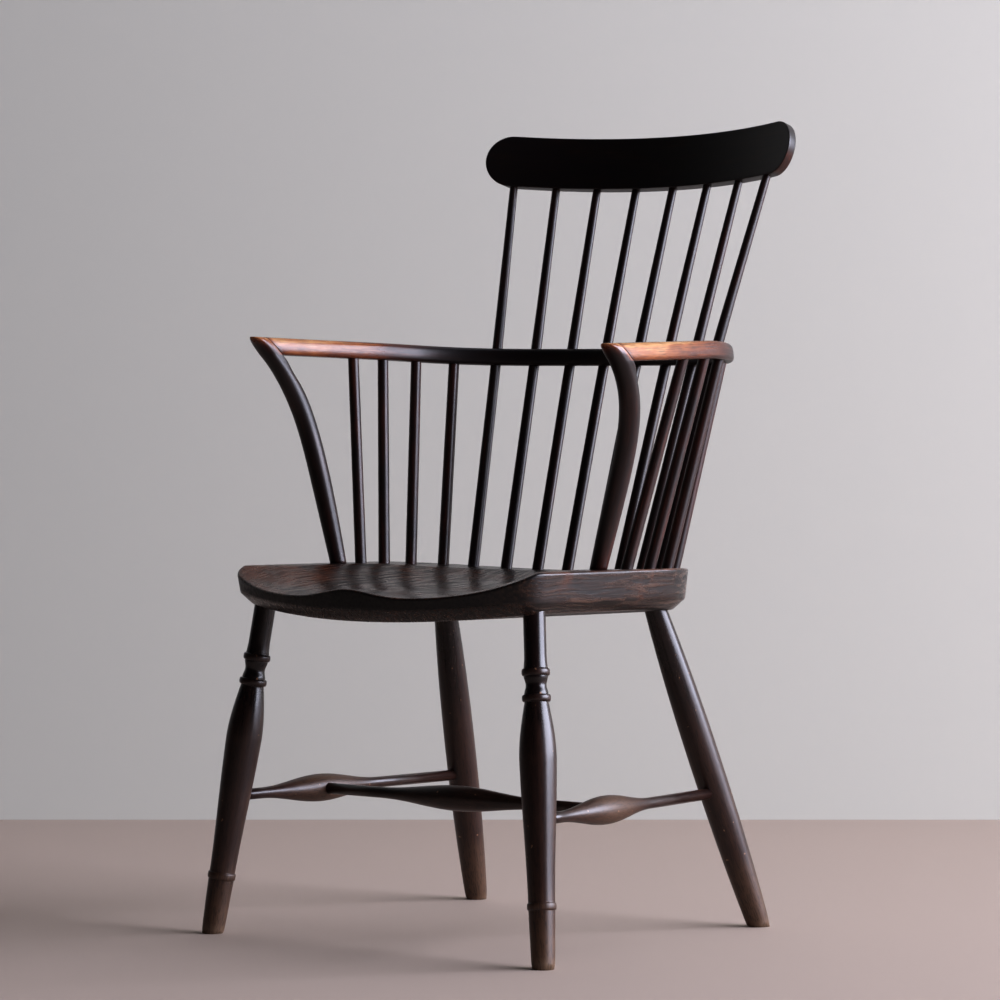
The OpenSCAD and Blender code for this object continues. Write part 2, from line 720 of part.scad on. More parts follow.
// Ring of points round c, square to d
function cross_ring(c, d, r) =
    let (u = unit(cross(d, [1, 0, 0])), v = unit(cross(d, u)))
    [for (i = [0 : stick_sides - 1])
        let (a = -360 * i / stick_sides) c + r * (u * cos(a) + v * sin(a))];
module back_stick(side, i) {
    hand = hand_of(side);
    foot = seat_stick(i, hand);
    mid = bow_back_stick(i, hand);
    top = comb_stick(i, hand);
    lead = unit(top - foot) * bow_grip;
    path = [
        toward(foot, mid, -stick_tenon), foot, mid - lead, mid + lead, top,
        toward(top, mid, socket_room - comb_socket)
    ];
    diameters = [stick_d, stick_d, stick_bow_d, stick_bow_d, stick_comb_d, stick_comb_d];
    color(dark_ash)
        on_side(side)
            loft([for (k = [0 : len(path) - 1]) cross_ring(path[k], lead, diameters[k] / 2)]);
}
// An arm stick ends inside the bow, a little past its middle line
bow_past = 3;
module arm_stick(side, i) {
    hand = hand_of(side);
    foot = seat_arm_stick(i, hand);
    mid = bow_arm_stick(i, hand);
    low = toward(foot, mid, -stick_tenon);
    high = toward(mid, foot, -bow_past);
    color(dark_ash)
        on_side(side)
            along(low, high)
                cylinder(h = norm(high - low), d1 = arm_stick_d, d2 = arm_stick_bow_d);
}
// Bore along the line from p to q, from one distance to another past p
module bore(p, q, from, to, d) {
    along(p, q) translate([0, 0, from]) cylinder(h = to - from, d = d + 2 * fit);
}
// How far a bore is carried out through the surface that it opens
mouth = 20;

module seat() {
    color(elm)
        difference() {
            seat_board();
            for (side = sides)
                on_side(side) seat_bores(hand_of(side));
        }
}
module seat_bores(hand) {
    for (i = [0 : 3]) {
        bore(seat_stick(i, hand), bow_back_stick(i, hand), -seat_socket, mouth, stick_d);
        bore(seat_arm_stick(i, hand), bow_arm_stick(i, hand), -seat_socket, mouth, arm_stick_d);
    }
    bore(support_foot(hand), support_base(hand), -socket_room, stick_tenon + mouth, support_tenon_d);
    bore(front_top, front_foot, -leg_socket, leg_socket, front_neck_d);
    bore(rear_top, rear_foot, -leg_socket, leg_socket, rear_neck_d);
}

// The comb is the space between two cylinders, cut to a bar with round ends. The inner cylinder
// is larger and further forward, so that the board thins towards its ends
comb_thinning = (comb_t - comb_end_t) / (1 - cos(asin(comb_w / 2 / comb_r)));
bar = comb_w - comb_board;
module bent_board() {
    over = 1;
    intersection() {
        difference() {
            translate([0, -comb_r, 0])
                cylinder(h = comb_board, r = comb_r + comb_t / 2, $fn = 360);
            translate([0, -comb_r - comb_thinning, -over])
                cylinder(h = comb_board + 2 * over, r = comb_r - comb_t / 2 + comb_thinning,
                    $fn = 360);
        }
        translate([comb_side, comb_t, comb_board / 2])
            rotate([90, 0, 0])
                linear_extrude(height = comb_w / 2) {
                    square([bar, comb_board], center = true);
                    for (x = [-1, 1])
                        translate([x * bar / 2, 0]) circle(d = comb_board, $fn = 96);
                }
    }
}
module comb() {
    color(dark_ash)
        difference() {
            translate([0, comb_rear, comb_h])
                rotate([0, -comb_tilt, 0])
                    rotate([-comb_rake, 0, 0])
                        bent_board();
            for (side = sides)
                on_side(side)
                    for (i = [0 : 3]) comb_bore(i, hand_of(side));
        }
}
module comb_bore(i, hand) {
    bore(comb_stick(i, hand), bow_back_stick(i, hand), -comb_socket, mouth, stick_comb_d);
}

seat();
for (side = sides) {
    front_leg(side);
    rear_leg(side);
    side_stretcher(side);
    arm_support(side);
    for (i = [0 : 3])
        arm_stick(side, i);
}
cross_stretcher();
arm_bow();
// Sticks 1 to 8 run from the sitter's right to the left
for (i = [0 : 3]) {
    back_stick("right", i);
    back_stick("left", i);
}
comb();
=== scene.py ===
import math
import bmesh
import bpy
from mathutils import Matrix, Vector


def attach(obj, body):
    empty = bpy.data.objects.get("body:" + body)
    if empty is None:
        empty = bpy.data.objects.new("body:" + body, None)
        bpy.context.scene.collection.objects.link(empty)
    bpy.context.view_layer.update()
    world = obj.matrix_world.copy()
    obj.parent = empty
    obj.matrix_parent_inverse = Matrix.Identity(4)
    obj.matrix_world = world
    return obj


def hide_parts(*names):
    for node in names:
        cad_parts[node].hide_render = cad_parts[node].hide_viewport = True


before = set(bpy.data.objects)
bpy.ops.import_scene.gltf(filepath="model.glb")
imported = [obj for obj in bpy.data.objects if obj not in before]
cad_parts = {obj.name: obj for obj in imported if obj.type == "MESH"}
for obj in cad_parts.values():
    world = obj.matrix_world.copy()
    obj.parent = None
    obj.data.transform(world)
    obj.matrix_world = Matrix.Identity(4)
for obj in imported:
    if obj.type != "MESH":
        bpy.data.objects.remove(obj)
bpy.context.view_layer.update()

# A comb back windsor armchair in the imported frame. The floor is z = 0, the sitter faces -Y, and +X
# is the sitter's left. Sizes are written in millimetres, as a maker has them, and every mesh is
# turned to metres where it is made.


# Seat
# One elm board 45 mm thick, its grain running front to back. It was hollowed by hand, bevelled
# underneath, stained nearly black and then polished by the sitters. Sticks, supports and legs are
# driven into sockets in it.
SEAT_W = 468
SEAT_FRONT = 309
SEAT_REAR = 154
SEAT_H = 446
SEAT_T = 45
RIM_FALL = math.tan(math.radians(0.7))
RIM_ROLL = math.tan(math.radians(0.5))
REAR_DIP = 10.5
UNDER_FALL = math.tan(math.radians(0.8))
UNDER_BELLY = 16
FRONT_EDGE_R = 510
FRONT_CORNER_R = 35
REAR_EDGE_R = 361
REAR_CORNER_R = 130
SADDLE_DEPTH = 28.5
SADDLE_W = 380
SADDLE_MOUTH_W = 1.8 * SADDLE_W
SADDLE_MOUTH_POWER = 3.4
SADDLE_WALL_POWER = 1.5
SADDLE_DECK = 42
SADDLE_DRIFT = 8
POMMEL_H = 10.5
POMMEL_W = 50
POMMEL_Y = -44
HIP_Y = -90
DIP_Y = 60
RIM_ROUND = 3
WALL_LEAN = 3.5
BEVEL_W = 15
BEVEL_H = 13.5
BEVEL_EASE = 1.6
SEAT_MIDDLE = (0, -58)
# Wear goes from 0, where the finish is whole, to 1, where it is gone
# A wear below 0.25, under the board and along its front edge, also paints the colour darker as shade
UNDER_WEAR = 0.1
BEVEL_WEAR = 0.3
WALL_WEAR = 0.3
CREST_WEAR = 0.7
TOP_WEAR = 0.42
CORNER_WEAR = 0.4
# The front edge is left almost unworn, so that its colour is painted nearly black as shade
FRONT_EDGE_WEAR = 0.04
# The front edge's low wear reaches this far back, then fades over this length. There dirt dulls the
# finish and the colour is painted nearly black as shade
FRONT_EDGE_REACH = 22
FRONT_EDGE_FADE = 45
# The top is worn more at its front corners, beyond this x and y and over these lengths
CORNER_X = 90
CORNER_X_FADE = 110
CORNER_Y = -130
CORNER_Y_FADE = 90


def mix(a, b, t):
    return a + (b - a) * t


def steps(a, b, count):
    """Evenly spaced values from a to b, both ends included."""
    return [mix(a, b, i / count) for i in range(count + 1)]


def smooth(t):
    t = min(1.0, max(0.0, t))
    return t * t * (3 - 2 * t)


def arc_point(centre, radius, degrees):
    a = math.radians(degrees)
    return (centre[0] + radius * math.sin(a), centre[1] + radius * math.cos(a))


def skin(name, rings, grain=None, wear=None, caps=None):
    """Closed mesh through a stack of rings with as many points each, given in millimetres.

    grain gives each point its place in the straight blank: two steps across and one along.
    wear says how far the finish has gone there, from 0 to 1. caps are the faces that close the
    first and the last ring, as places round a ring. Without them a fan closes each.
    """
    count = len(rings[0])
    top = (len(rings) - 1) * count
    faces = []
    for j in range(len(rings) - 1):
        for i in range(count):
            a = j * count + i
            b = j * count + (i + 1) % count
            faces.append((a, b, b + count, a + count))

    def flat(stack):
        """One list for the whole stack, with the middle of each end where a fan needs it."""
        made = [Vector(v) for ring in stack for v in ring]
        if not caps:
            made += [sum((Vector(v) for v in ring), Vector()) / count for ring in (stack[0], stack[-1])]
        return made

    points = flat(rings)
    for cap in caps or ():
        faces.append(cap[::-1])
        faces.append([top + i for i in cap])
    if not caps:
        for i in range(count):
            faces.append((len(points) - 2, (i + 1) % count, i))
            faces.append((len(points) - 1, top + i, top + (i + 1) % count))
    mesh = bpy.data.meshes.new(name)
    mesh.from_pydata([p / 1000 for p in points], [], faces)
    if grain:
        layer = mesh.attributes.new("grain", "FLOAT_VECTOR", "POINT")
        layer.data.foreach_set("vector", [v / 1000 for place in flat(grain) for v in place])
    if wear:
        bare = flat([[(w, 0, 0) for w in ring] for ring in wear])
        layer = mesh.attributes.new("wear", "FLOAT", "POINT")
        layer.data.foreach_set("value", [v.x for v in bare])
    shell = bmesh.new()
    shell.from_mesh(mesh)
    bmesh.ops.recalc_face_normals(shell, faces=shell.faces)
    shell.to_mesh(mesh)
    shell.free()
    mesh.shade_smooth()
    piece = bpy.data.objects.new(name, mesh)
    bpy.context.collection.objects.link(piece)
    return piece


def fixed(piece, finish, node):
    """Gives a piece its finish, and sets it in the frame in place of that CAD node."""
    piece.data.materials.clear()
    piece.data.materials.append(finish)
    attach(piece, "root")
    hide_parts(node)


front_corner = (
    SEAT_W / 2 - FRONT_CORNER_R,
    FRONT_EDGE_R - SEAT_FRONT
    - math.sqrt((FRONT_EDGE_R - FRONT_CORNER_R) ** 2 - (SEAT_W / 2 - FRONT_CORNER_R) ** 2),
)
front_edge_a = math.degrees(math.asin(front_corner[0] / (FRONT_EDGE_R - FRONT_CORNER_R)))
rear_edge = (0, SEAT_REAR - REAR_EDGE_R)
rear_corner = (
    SEAT_W / 2 - REAR_CORNER_R,
    rear_edge[1]
    + math.sqrt((REAR_EDGE_R - REAR_CORNER_R) ** 2 - (SEAT_W / 2 - REAR_CORNER_R) ** 2),
)
rear_edge_a = math.degrees(math.asin(rear_corner[0] / (REAR_EDGE_R - REAR_CORNER_R)))


def seat_outline(inset):
    """The seat's outline, four tangent arcs a side, drawn in by inset."""
    half = [arc_point(rear_edge, REAR_EDGE_R - inset, a) for a in steps(0, rear_edge_a, 28)[:-1]]
    half += [arc_point(rear_corner, REAR_CORNER_R - inset, a) for a in steps(rear_edge_a, 90, 22)[:-1]]
    half += [(SEAT_W / 2 - inset, y) for y in steps(rear_corner[1], front_corner[1], 22)[:-1]]
    half += [
        arc_point(front_corner, FRONT_CORNER_R - inset, a)
        for a in steps(90, 180 - front_edge_a, 14)[:-1]
    ]
    half += [
        arc_point((0, FRONT_EDGE_R - SEAT_FRONT), FRONT_EDGE_R - inset, a)
        for a in steps(180 - front_edge_a, 180, 40)
    ]
    return half + [(-x, y) for x, y in half[-2:0:-1]]


def across(x):
    return 1 - (x / (SEAT_W / 2)) ** 2


def rim_z(x, y):
    dip = REAR_DIP * across(x) * smooth((y - HIP_Y) / (DIP_Y - HIP_Y))
    return SEAT_H - RIM_FALL * y + RIM_ROLL * x - dip


def under_z(x, y):
    return SEAT_H - SEAT_T - UNDER_FALL * y - UNDER_BELLY * across(x)


def forward_of(line_y, y):
    return max(0, line_y - y) / (SEAT_FRONT + line_y)


def seat_top_z(x, y):
    """Height of the top: the rim, less the hollow, plus the ridge between the thighs.

    The hollow's mouth drifts to the sitter's right and opens out over the front corners.
    """
    ahead = forward_of(HIP_Y, y)
    from_middle = x + SADDLE_DRIFT * ahead
    half_w = mix(SADDLE_W, SADDLE_MOUTH_W, ahead ** SADDLE_MOUTH_POWER) / 2
    behind = max(0, y - HIP_Y) / (SEAT_REAR - SADDLE_DECK - HIP_Y)
    q = math.hypot(from_middle / half_w, behind)
    share = math.cos(math.radians(90 * q ** SADDLE_WALL_POWER)) if q < 1 else 0
    ridge = POMMEL_H * math.exp(-(from_middle / POMMEL_W) ** 2) * forward_of(POMMEL_Y, y) ** 1.5
    return mix(rim_z(x, y), SEAT_H - SADDLE_DEPTH + RIM_ROLL * x, share) + ridge


def shrunk(ring, k):
    return [(mix(SEAT_MIDDLE[0], x, k), mix(SEAT_MIDDLE[1], y, k)) for x, y in ring]


def eased(before, corner, after, cut):
    """Three points that round a corner of a profile, cut back equally on both sides of it."""
    corner = Vector(corner)
    start = corner + (Vector(before) - corner).normalized() * cut
    end = corner + (Vector(after) - corner).normalized() * cut
    return [start, (start + end) / 4 + corner / 2, end]


def seat_rings():
    """Rings of the board and their wear: under it, up its bevel and wall, then over its top.

    The front edge is hardly worn and is painted nearly black as shade, the side walls are rubbed, and
    the top is most worn along its rim and at the front corners.
    """
    foot = seat_outline(WALL_LEAN + BEVEL_W)
    crown = seat_outline(RIM_ROUND)
    low = [under_z(x, y) for x, y in foot]
    high = [seat_top_z(x, y) - RIM_ROUND for x, y in crown]
    rubbed = [
        mix(FRONT_EDGE_WEAR, WALL_WEAR, smooth((y + SEAT_FRONT - FRONT_EDGE_REACH) / FRONT_EDGE_FADE))
        for x, y in crown
    ]
    rings, wear = [], []
    for k in steps(0.03, 0.97, 14):
        rings.append([(x, y, under_z(x, y)) for x, y in shrunk(foot, k)])
        wear.append([UNDER_WEAR] * len(foot))
    bevel_foot = (WALL_LEAN + BEVEL_W, 0)
    bevel_top = (WALL_LEAN, BEVEL_H)
    corners = eased((SEAT_W / 2, 0), bevel_foot, bevel_top, BEVEL_EASE)
    corners += eased(bevel_foot, bevel_top, (WALL_LEAN, SEAT_T), BEVEL_EASE)
    for inset, up in corners:
        rings.append([(x, y, z + up) for (x, y), z in zip(seat_outline(inset), low)])
        wear.append([BEVEL_WEAR] * len(foot))
    for t in steps(0.08, 0.94, 6):
        ring = seat_outline(mix(WALL_LEAN, 0, t))
        rings.append([(x, y, mix(a + BEVEL_H, b, t)) for (x, y), a, b in zip(ring, low, high)])
        wear.append(rubbed)
    for a in steps(0, 90, 6):
        ring = seat_outline(RIM_ROUND * (1 - math.cos(math.radians(a))))
        up = RIM_ROUND * math.sin(math.radians(a))
        rings.append([(x, y, z + up) for (x, y), z in zip(ring, high)])
        wear.append([mix(w, CREST_WEAR, math.sin(math.radians(a))) for w in rubbed])
    for k in steps(0.99, 0.01, 70):
        ring = shrunk(crown, k)
        rings.append([(x, y, seat_top_z(x, y)) for x, y in ring])
        wear.append([
            TOP_WEAR + CORNER_WEAR * smooth((abs(x) - CORNER_X) / CORNER_X_FADE)
            * smooth((CORNER_Y - y) / CORNER_Y_FADE)
            for x, y in ring
        ])
    return rings, wear


def add(tree, kind, settings=None, **inputs):
    """Adds a node, sets its properties, and sets or links its inputs.

    An input is named by its socket, with _ for a space, or by its number, as i0, i1 and so on. A
    node given as an input stands for its first output. The stops of a colour ramp are (place, sRGB
    hex) or (place, grey from 0 to 1).
    """
    made = tree.nodes.new(kind)
    for key, value in (settings or {}).items():
        if key == "stops":
            set_stops(made.color_ramp, value)
        else:
            setattr(made, key, value)
    for key, value in inputs.items():
        socket = made.inputs[int(key[1:])] if key[1:].isdigit() else made.inputs[key.replace("_", " ")]
        if isinstance(value, bpy.types.Node):
            value = value.outputs[0]
        if isinstance(value, bpy.types.NodeSocket):
            tree.links.new(value, socket)
        else:
            socket.default_value = value
    return made


def colour(hex_code):
    """An sRGB hex colour as linear red, green, blue and alpha."""
    values = [int(hex_code[i:i + 2], 16) / 255 for i in (1, 3, 5)]
    return [v / 12.92 if v <= 0.04045 else ((v + 0.055) / 1.055) ** 2.4 for v in values] + [1.0]


def set_stops(band, stops):
    while len(band.elements) < len(stops):
        band.elements.new(0.5)
    for element, (place, shade) in zip(band.elements, stops):
        element.position = place
        element.color = colour(shade) if isinstance(shade, str) else (shade, shade, shade, 1)


def material(name):
    made = bpy.data.materials.new(name)
    made.use_nodes = True
    made.node_tree.nodes.clear()
    return made


def waxed_elm():
    """Elm, scraped by hand, stained bitumen brown, waxed and sat on for generations.

    It gives wavy open grain that catches the light, a satin gloss, red brown wood along the worn
    edges, and a front edge and an underside dulled by dirt and painted dark as shade, the edge nearly
    black.
    """
    made = material("waxed_elm")
    tree = made.node_tree
    place = add(tree, "ShaderNodeTexCoord").outputs["Object"]
    wear = add(tree, "ShaderNodeAttribute",
               {"attribute_type": "GEOMETRY", "attribute_name": "wear"}).outputs["Fac"]
    # The grain wanders a few millimetres on its way along the board
    drift = add(tree, "ShaderNodeTexNoise", None, Vector=place, Scale=13.0, Detail=1.0)
    bent = add(tree, "ShaderNodeVectorMath", {"operation": "MULTIPLY_ADD"},
               i0=drift.outputs["Color"], i1=(0.02, 0.0, 0.012), i2=place)
    # Growth lines 4 mm apart and 100 mm long, and pores 1 mm wide and 25 mm long
    long = add(tree, "ShaderNodeMapping", None, Vector=bent, Scale=(1.0, 0.04, 1.0))
    lines = add(tree, "ShaderNodeTexNoise", None,
                Vector=long, Scale=250.0, Detail=2.0, Roughness=0.5)
    pores = add(tree, "ShaderNodeTexNoise", None, Vector=long, Scale=900.0, Detail=1.0)
    # Patches 60 mm wide where the stain has gone
    patches = add(tree, "ShaderNodeTexNoise", None,
                  Vector=place, Scale=16.0, Detail=5.0, Roughness=0.62)
    body = add(tree, "ShaderNodeValToRGB",
               {"stops": [(0.36, "#0e0807"), (0.47, "#231714"), (0.6, "#37261f"), (0.7, "#4a362c")]},
               Fac=lines)
    rubbed = add(tree, "ShaderNodeMath", {"operation": "MULTIPLY_ADD"},
                 i0=wear, i1=0.55, i2=patches)
    bare = add(tree, "ShaderNodeValToRGB", {"stops": [(0.74, 0.0), (1.0, 0.7)]}, Fac=rubbed)
    warm = add(tree, "ShaderNodeMix", {"data_type": "RGBA"}, i0=bare, i6=body, i7=colour("#6a3a22"))
    dark_pore = add(tree, "ShaderNodeValToRGB", {"stops": [(0.36, 0.75), (0.45, 0.0)]}, Fac=pores)
    tint = add(tree, "ShaderNodeMix", {"data_type": "RGBA"},
               i0=dark_pore, i6=warm.outputs[2], i7=colour("#0b0605"))
    # Where the wear is lowest, on the front edge and under the board, dirt dulls the finish and the
    # colour is painted nearly black as shade
    dirt_and_shade = add(tree, "ShaderNodeValToRGB", {"stops": [(0.05, 0.9), (0.25, 0.0)]}, Fac=wear)
    grime_and_shade_colour = add(tree, "ShaderNodeMix", {"data_type": "RGBA"},
                i0=dirt_and_shade, i6=tint.outputs[2], i7=colour("#080505"))
    satin = add(tree, "ShaderNodeValToRGB", {"stops": [(0.35, 0.4), (0.55, 0.26)]}, Fac=lines)
    dull = add(tree, "ShaderNodeMath", {"operation": "MULTIPLY_ADD"}, i0=dirt_and_shade, i1=0.3, i2=satin)
    # The top is polished by use, and the grain stands up on the walls
    facing = add(tree, "ShaderNodeSeparateXYZ", None,
                 Vector=add(tree, "ShaderNodeTexCoord").outputs["Normal"])
    raised = add(tree, "ShaderNodeValToRGB",
                 {"stops": [(0.3, 0.75), (0.8, 0.16)]}, Fac=facing.outputs["Z"])
    flat_dirt = add(tree, "ShaderNodeMath", {"operation": "MULTIPLY_ADD"}, i0=dirt_and_shade, i1=-0.6, i2=raised)
    bump = add(tree, "ShaderNodeBump", None, Strength=flat_dirt, Distance=0.0006, Height=lines)
    shader = add(tree, "ShaderNodeBsdfPrincipled", None, Base_Color=grime_and_shade_colour.outputs[2],
                 Roughness=dull, Normal=bump, IOR=1.5)
    add(tree, "ShaderNodeOutputMaterial", None, Surface=shader)
    return made


board, board_wear = seat_rings()
seat = skin("elm_seat_board", board, wear=board_wear)
fixed(seat, waxed_elm(), "seat")


# Legs
# Four beech legs turned on a pole lathe: the front pair with three collars and a vase, the rear
# pair plain. Each is driven into a socket under the seat and sawn off level with the floor.
# The finish has rubbed through on the collars and the feet.
FRONT_FOOT = Vector((256, -266, 0))
REAR_FOOT = Vector((224, 204, 0))
# A leg's line runs from its foot on the floor through its place at this height
LEG_H = 400
FRONT_TOP = Vector((208, -222, LEG_H))
REAR_TOP = Vector((165, 66, LEG_H))
LEG_TENON = 29
# The sawn foot is eased by this much in height and across
FOOT_EASE_H = 6
FOOT_EASE_D = 2
FRONT_FOOT_D = 27
FRONT_SHANK_D = 31
LOW_COLLAR = (71, 34)
VASE = (240, 43.4)
VASE_TOP_D = 28
MID_COLLAR = (310, 33.6)
WAIST = (325, 24)
HIGH_COLLAR = (340, 33)
COLLAR_W = 8
# Steps of the profile, and smaller ones beside a collar
PROFILE_STEP = 8
COLLAR_STEP = 1
WAIST_STEP = 0.5
NECK_TAPER = 16
FRONT_NECK_D = 26
REAR_FOOT_D = 27.4
REAR_BELLY = (215, 38.6)
REAR_NECK_D = 26


def turned(name, start, end, profile, round_points, on_floor=False):
    """Revolves a profile about the line from start to end. A step is (distance, diameter, wear)."""
    axis = (end - start).normalized()
    side = axis.cross(Vector((0, 1, 0.01))).normalized()
    front = axis.cross(side)
    rings, grain, wear = [], [], []
    for s, d, bare in profile:
        ring, marks = [], []
        for i in range(round_points):
            a = math.tau * i / round_points
            out = side * math.cos(a) + front * math.sin(a)
            p = start + axis * s + out * d / 2
            if on_floor and not rings:
                p -= axis * (p.z / axis.z)
            ring.append(p)
            marks.append((d / 2 * math.cos(a), d / 2 * math.sin(a), s))
        rings.append(ring)
        grain.append(marks)
        wear.append([bare] * round_points)
    return skin(name, rings, grain, wear)


def collar(place, base_d, bare):
    """A half round bead on a cylinder, its crest a little more worn than the rest."""
    s, d = place
    made = []
    for a in steps(0, 180, 14):
        rise = math.sqrt(max(0, math.sin(math.radians(a))))
        made.append((s - COLLAR_W / 2 * math.cos(math.radians(a)), mix(base_d, d, rise),
                     bare + 0.15 * rise ** 3))
    return made


def wave(t):
    return math.cos(math.radians(90 * t))


def front_profile(length):
    shank_top = LOW_COLLAR[0] - COLLAR_W / 2 - COLLAR_STEP
    vase_foot = LOW_COLLAR[0] + COLLAR_W / 2 + COLLAR_STEP
    vase_top = MID_COLLAR[0] - COLLAR_W / 2 - COLLAR_STEP
    waist_from = MID_COLLAR[0] + COLLAR_W / 2 + WAIST_STEP
    waist_to = HIGH_COLLAR[0] - COLLAR_W / 2 - WAIST_STEP
    neck = HIGH_COLLAR[0] + COLLAR_W / 2 + COLLAR_STEP
    made = [(0, FRONT_FOOT_D - FOOT_EASE_D, 0.95), (FOOT_EASE_H, FRONT_FOOT_D, 0.85)]
    made += [(s, mix(FRONT_FOOT_D, FRONT_SHANK_D, s / shank_top), mix(0.8, 0.42, s / shank_top))
             for s in steps(FOOT_EASE_H + PROFILE_STEP, shank_top, 6)]
    made += collar(LOW_COLLAR, FRONT_SHANK_D, 0.4)
    for t in steps(0, 1, 34):
        swell = (math.sin(math.radians(90 * t)) ** 1.7 + t ** 1.2) / 2
        made.append((mix(vase_foot, VASE[0], t), mix(FRONT_SHANK_D, VASE[1], swell),
                     mix(0.42, 0.22, t)))
    for t in steps(0.04, 1, 26):
        made.append((mix(VASE[0], vase_top, t), mix(VASE_TOP_D, VASE[1], wave(t)),
                     mix(0.22, 0.12, t)))
    made += collar(MID_COLLAR, VASE_TOP_D, 0.15)
    for t in steps(0, 1, 10):
        made.append((mix(waist_from, WAIST[0], t), mix(WAIST[1], VASE_TOP_D, wave(t) ** 2), 0.05))
    for t in steps(0.1, 1, 10):
        made.append((mix(WAIST[0], waist_to, t), mix(WAIST[1], VASE_TOP_D, wave(1 - t) ** 2), 0.05))
    made += collar(HIGH_COLLAR, VASE_TOP_D, 0.15)
    made += [(neck + NECK_TAPER * t, mix(FRONT_NECK_D, VASE_TOP_D, (1 - t) ** 2), 0.1)
             for t in steps(0, 1, 8)]
    made += [(s, FRONT_NECK_D, 0.08)
             for s in steps(neck + NECK_TAPER + PROFILE_STEP, length + LEG_TENON, 6)]
    return made


def rear_profile(length):
    made = [(0, REAR_FOOT_D - FOOT_EASE_D, 0.95), (FOOT_EASE_H, REAR_FOOT_D, 0.8)]
    for s in steps(FOOT_EASE_H + PROFILE_STEP, REAR_BELLY[0], 26):
        back = 1 - s / REAR_BELLY[0]
        made.append((s, mix(REAR_BELLY[1], REAR_FOOT_D, back ** 2.2), mix(0.3, 0.72, back ** 1.6)))
    for t in steps(0.05, 1, 26):
        made.append((mix(REAR_BELLY[0], length, t), mix(REAR_BELLY[1], REAR_NECK_D, t ** 2.2),
                     mix(0.3, 0.06, t)))
    return made + [(length + LEG_TENON, REAR_NECK_D, 0)]


def polished_beech():
    """Beech turned on a lathe, stained and polished dark, then rubbed by brooms and shoes.

    It gives long soft streaks that darken towards the seat, grey brown feet, a soft gloss, and
    a few pale nicks.
    """
    made = material("polished_beech")
    tree = made.node_tree
    # The place in the straight blank, so that the grain follows the piece
    place = add(tree, "ShaderNodeAttribute",
                {"attribute_type": "GEOMETRY", "attribute_name": "grain"}).outputs["Vector"]
    wear = add(tree, "ShaderNodeAttribute",
               {"attribute_type": "GEOMETRY", "attribute_name": "wear"}).outputs["Fac"]
    # Streaks 4 mm wide and 80 mm long, and flecks 1 mm wide and 10 mm long
    long = add(tree, "ShaderNodeMapping", None, Vector=place, Scale=(1.0, 1.0, 0.05))
    streak = add(tree, "ShaderNodeTexNoise", None,
                 Vector=long, Scale=240.0, Detail=3.0, Roughness=0.55)
    short = add(tree, "ShaderNodeMapping", None, Vector=place, Scale=(1.0, 1.0, 0.1))
    fleck = add(tree, "ShaderNodeTexNoise", None, Vector=short, Scale=900.0, Detail=1.0)
    patches = add(tree, "ShaderNodeTexNoise", None,
                  Vector=place, Scale=14.0, Detail=3.0, Roughness=0.5)
    uneven = add(tree, "ShaderNodeMath", {"operation": "ADD"}, i0=streak, i1=patches)
    rubbed = add(tree, "ShaderNodeMath", {"operation": "MULTIPLY"}, i0=wear, i1=0.7)
    tone = add(tree, "ShaderNodeMath", {"operation": "MULTIPLY_ADD"}, i0=uneven, i1=0.3, i2=rubbed)
    body = add(tree, "ShaderNodeValToRGB",
               {"stops": [(0.24, "#0b0606"), (0.36, "#1d100e"), (0.55, "#38231b"),
                          (0.78, "#58402f"), (0.98, "#75604c")]}, Fac=tone)
    dark_fleck = add(tree, "ShaderNodeValToRGB", {"stops": [(0.38, 0.5), (0.47, 0.0)]}, Fac=fleck)
    tint = add(tree, "ShaderNodeMix", {"data_type": "RGBA"},
               i0=dark_fleck, i6=body, i7=colour("#0a0505"))
    # Nicks 2 mm across
    nick = add(tree, "ShaderNodeTexNoise", None, Vector=place, Scale=200.0, Detail=0.0)
    nicked = add(tree, "ShaderNodeValToRGB", {"stops": [(0.83, 0.0), (0.85, 0.8)]}, Fac=nick)
    marked = add(tree, "ShaderNodeMix", {"data_type": "RGBA"},
                 i0=nicked, i6=tint.outputs[2], i7=colour("#8d6a50"))
    gloss = add(tree, "ShaderNodeValToRGB", {"stops": [(0.35, 0.26), (0.9, 0.5)]}, Fac=tone)
    bump = add(tree, "ShaderNodeBump", None, Strength=0.25, Distance=0.0004, Height=streak)
    shader = add(tree, "ShaderNodeBsdfPrincipled", None, Base_Color=marked.outputs[2],
                 Roughness=gloss, Normal=bump, IOR=1.5)
    add(tree, "ShaderNodeOutputMaterial", None, Surface=shader)
    return made


beech = polished_beech()


def mirrored(p):
    return Vector((-p.x, p.y, p.z))


for side, turn in (("left", Vector), ("right", mirrored)):
    for end, foot, top, profile in (("front", FRONT_FOOT, FRONT_TOP, front_profile),
                                    ("rear", REAR_FOOT, REAR_TOP, rear_profile)):
        leg = turned("turned_%s_leg_%s" % (end, side), turn(foot), turn(top),
                     profile((top - foot).length), 64, on_floor=True)
        fixed(leg, beech, "%s_leg_%s" % (end, side))


# Stretchers
# Two side stretchers join the front and rear legs, and a cross stretcher joins them. Each is turned
# from beech with a swelling, and its round ends are driven into the pieces that it joins.
STRETCHER_H = 167.5
STRETCHER_END_D = 13.5
SIDE_SWELL = (142, 98, 34)
CROSS_SWELL = (122, 31)
STRETCHER_PAST = 5
SWELL_STEP = 4
STRETCHER_WEAR = 0.2
SIDE_WEAR = 0.6
CROSS_WEAR = 0.3


def swell_profile(length, centre, half, d, bare):
    """The profile of a stretcher. Its swelling is the most worn, as far as bare says."""
    made = [(s, STRETCHER_END_D, STRETCHER_WEAR)
            for s in (-STRETCHER_PAST, centre - half - SWELL_STEP)]
    made += [(centre + half * t, mix(STRETCHER_END_D, d, wave(t) ** 2),
              mix(STRETCHER_WEAR, bare, wave(t))) for t in steps(-1, 1, 56)]
    return made + [(s, STRETCHER_END_D, STRETCHER_WEAR)
                   for s in (centre + half + SWELL_STEP, length + STRETCHER_PAST)]


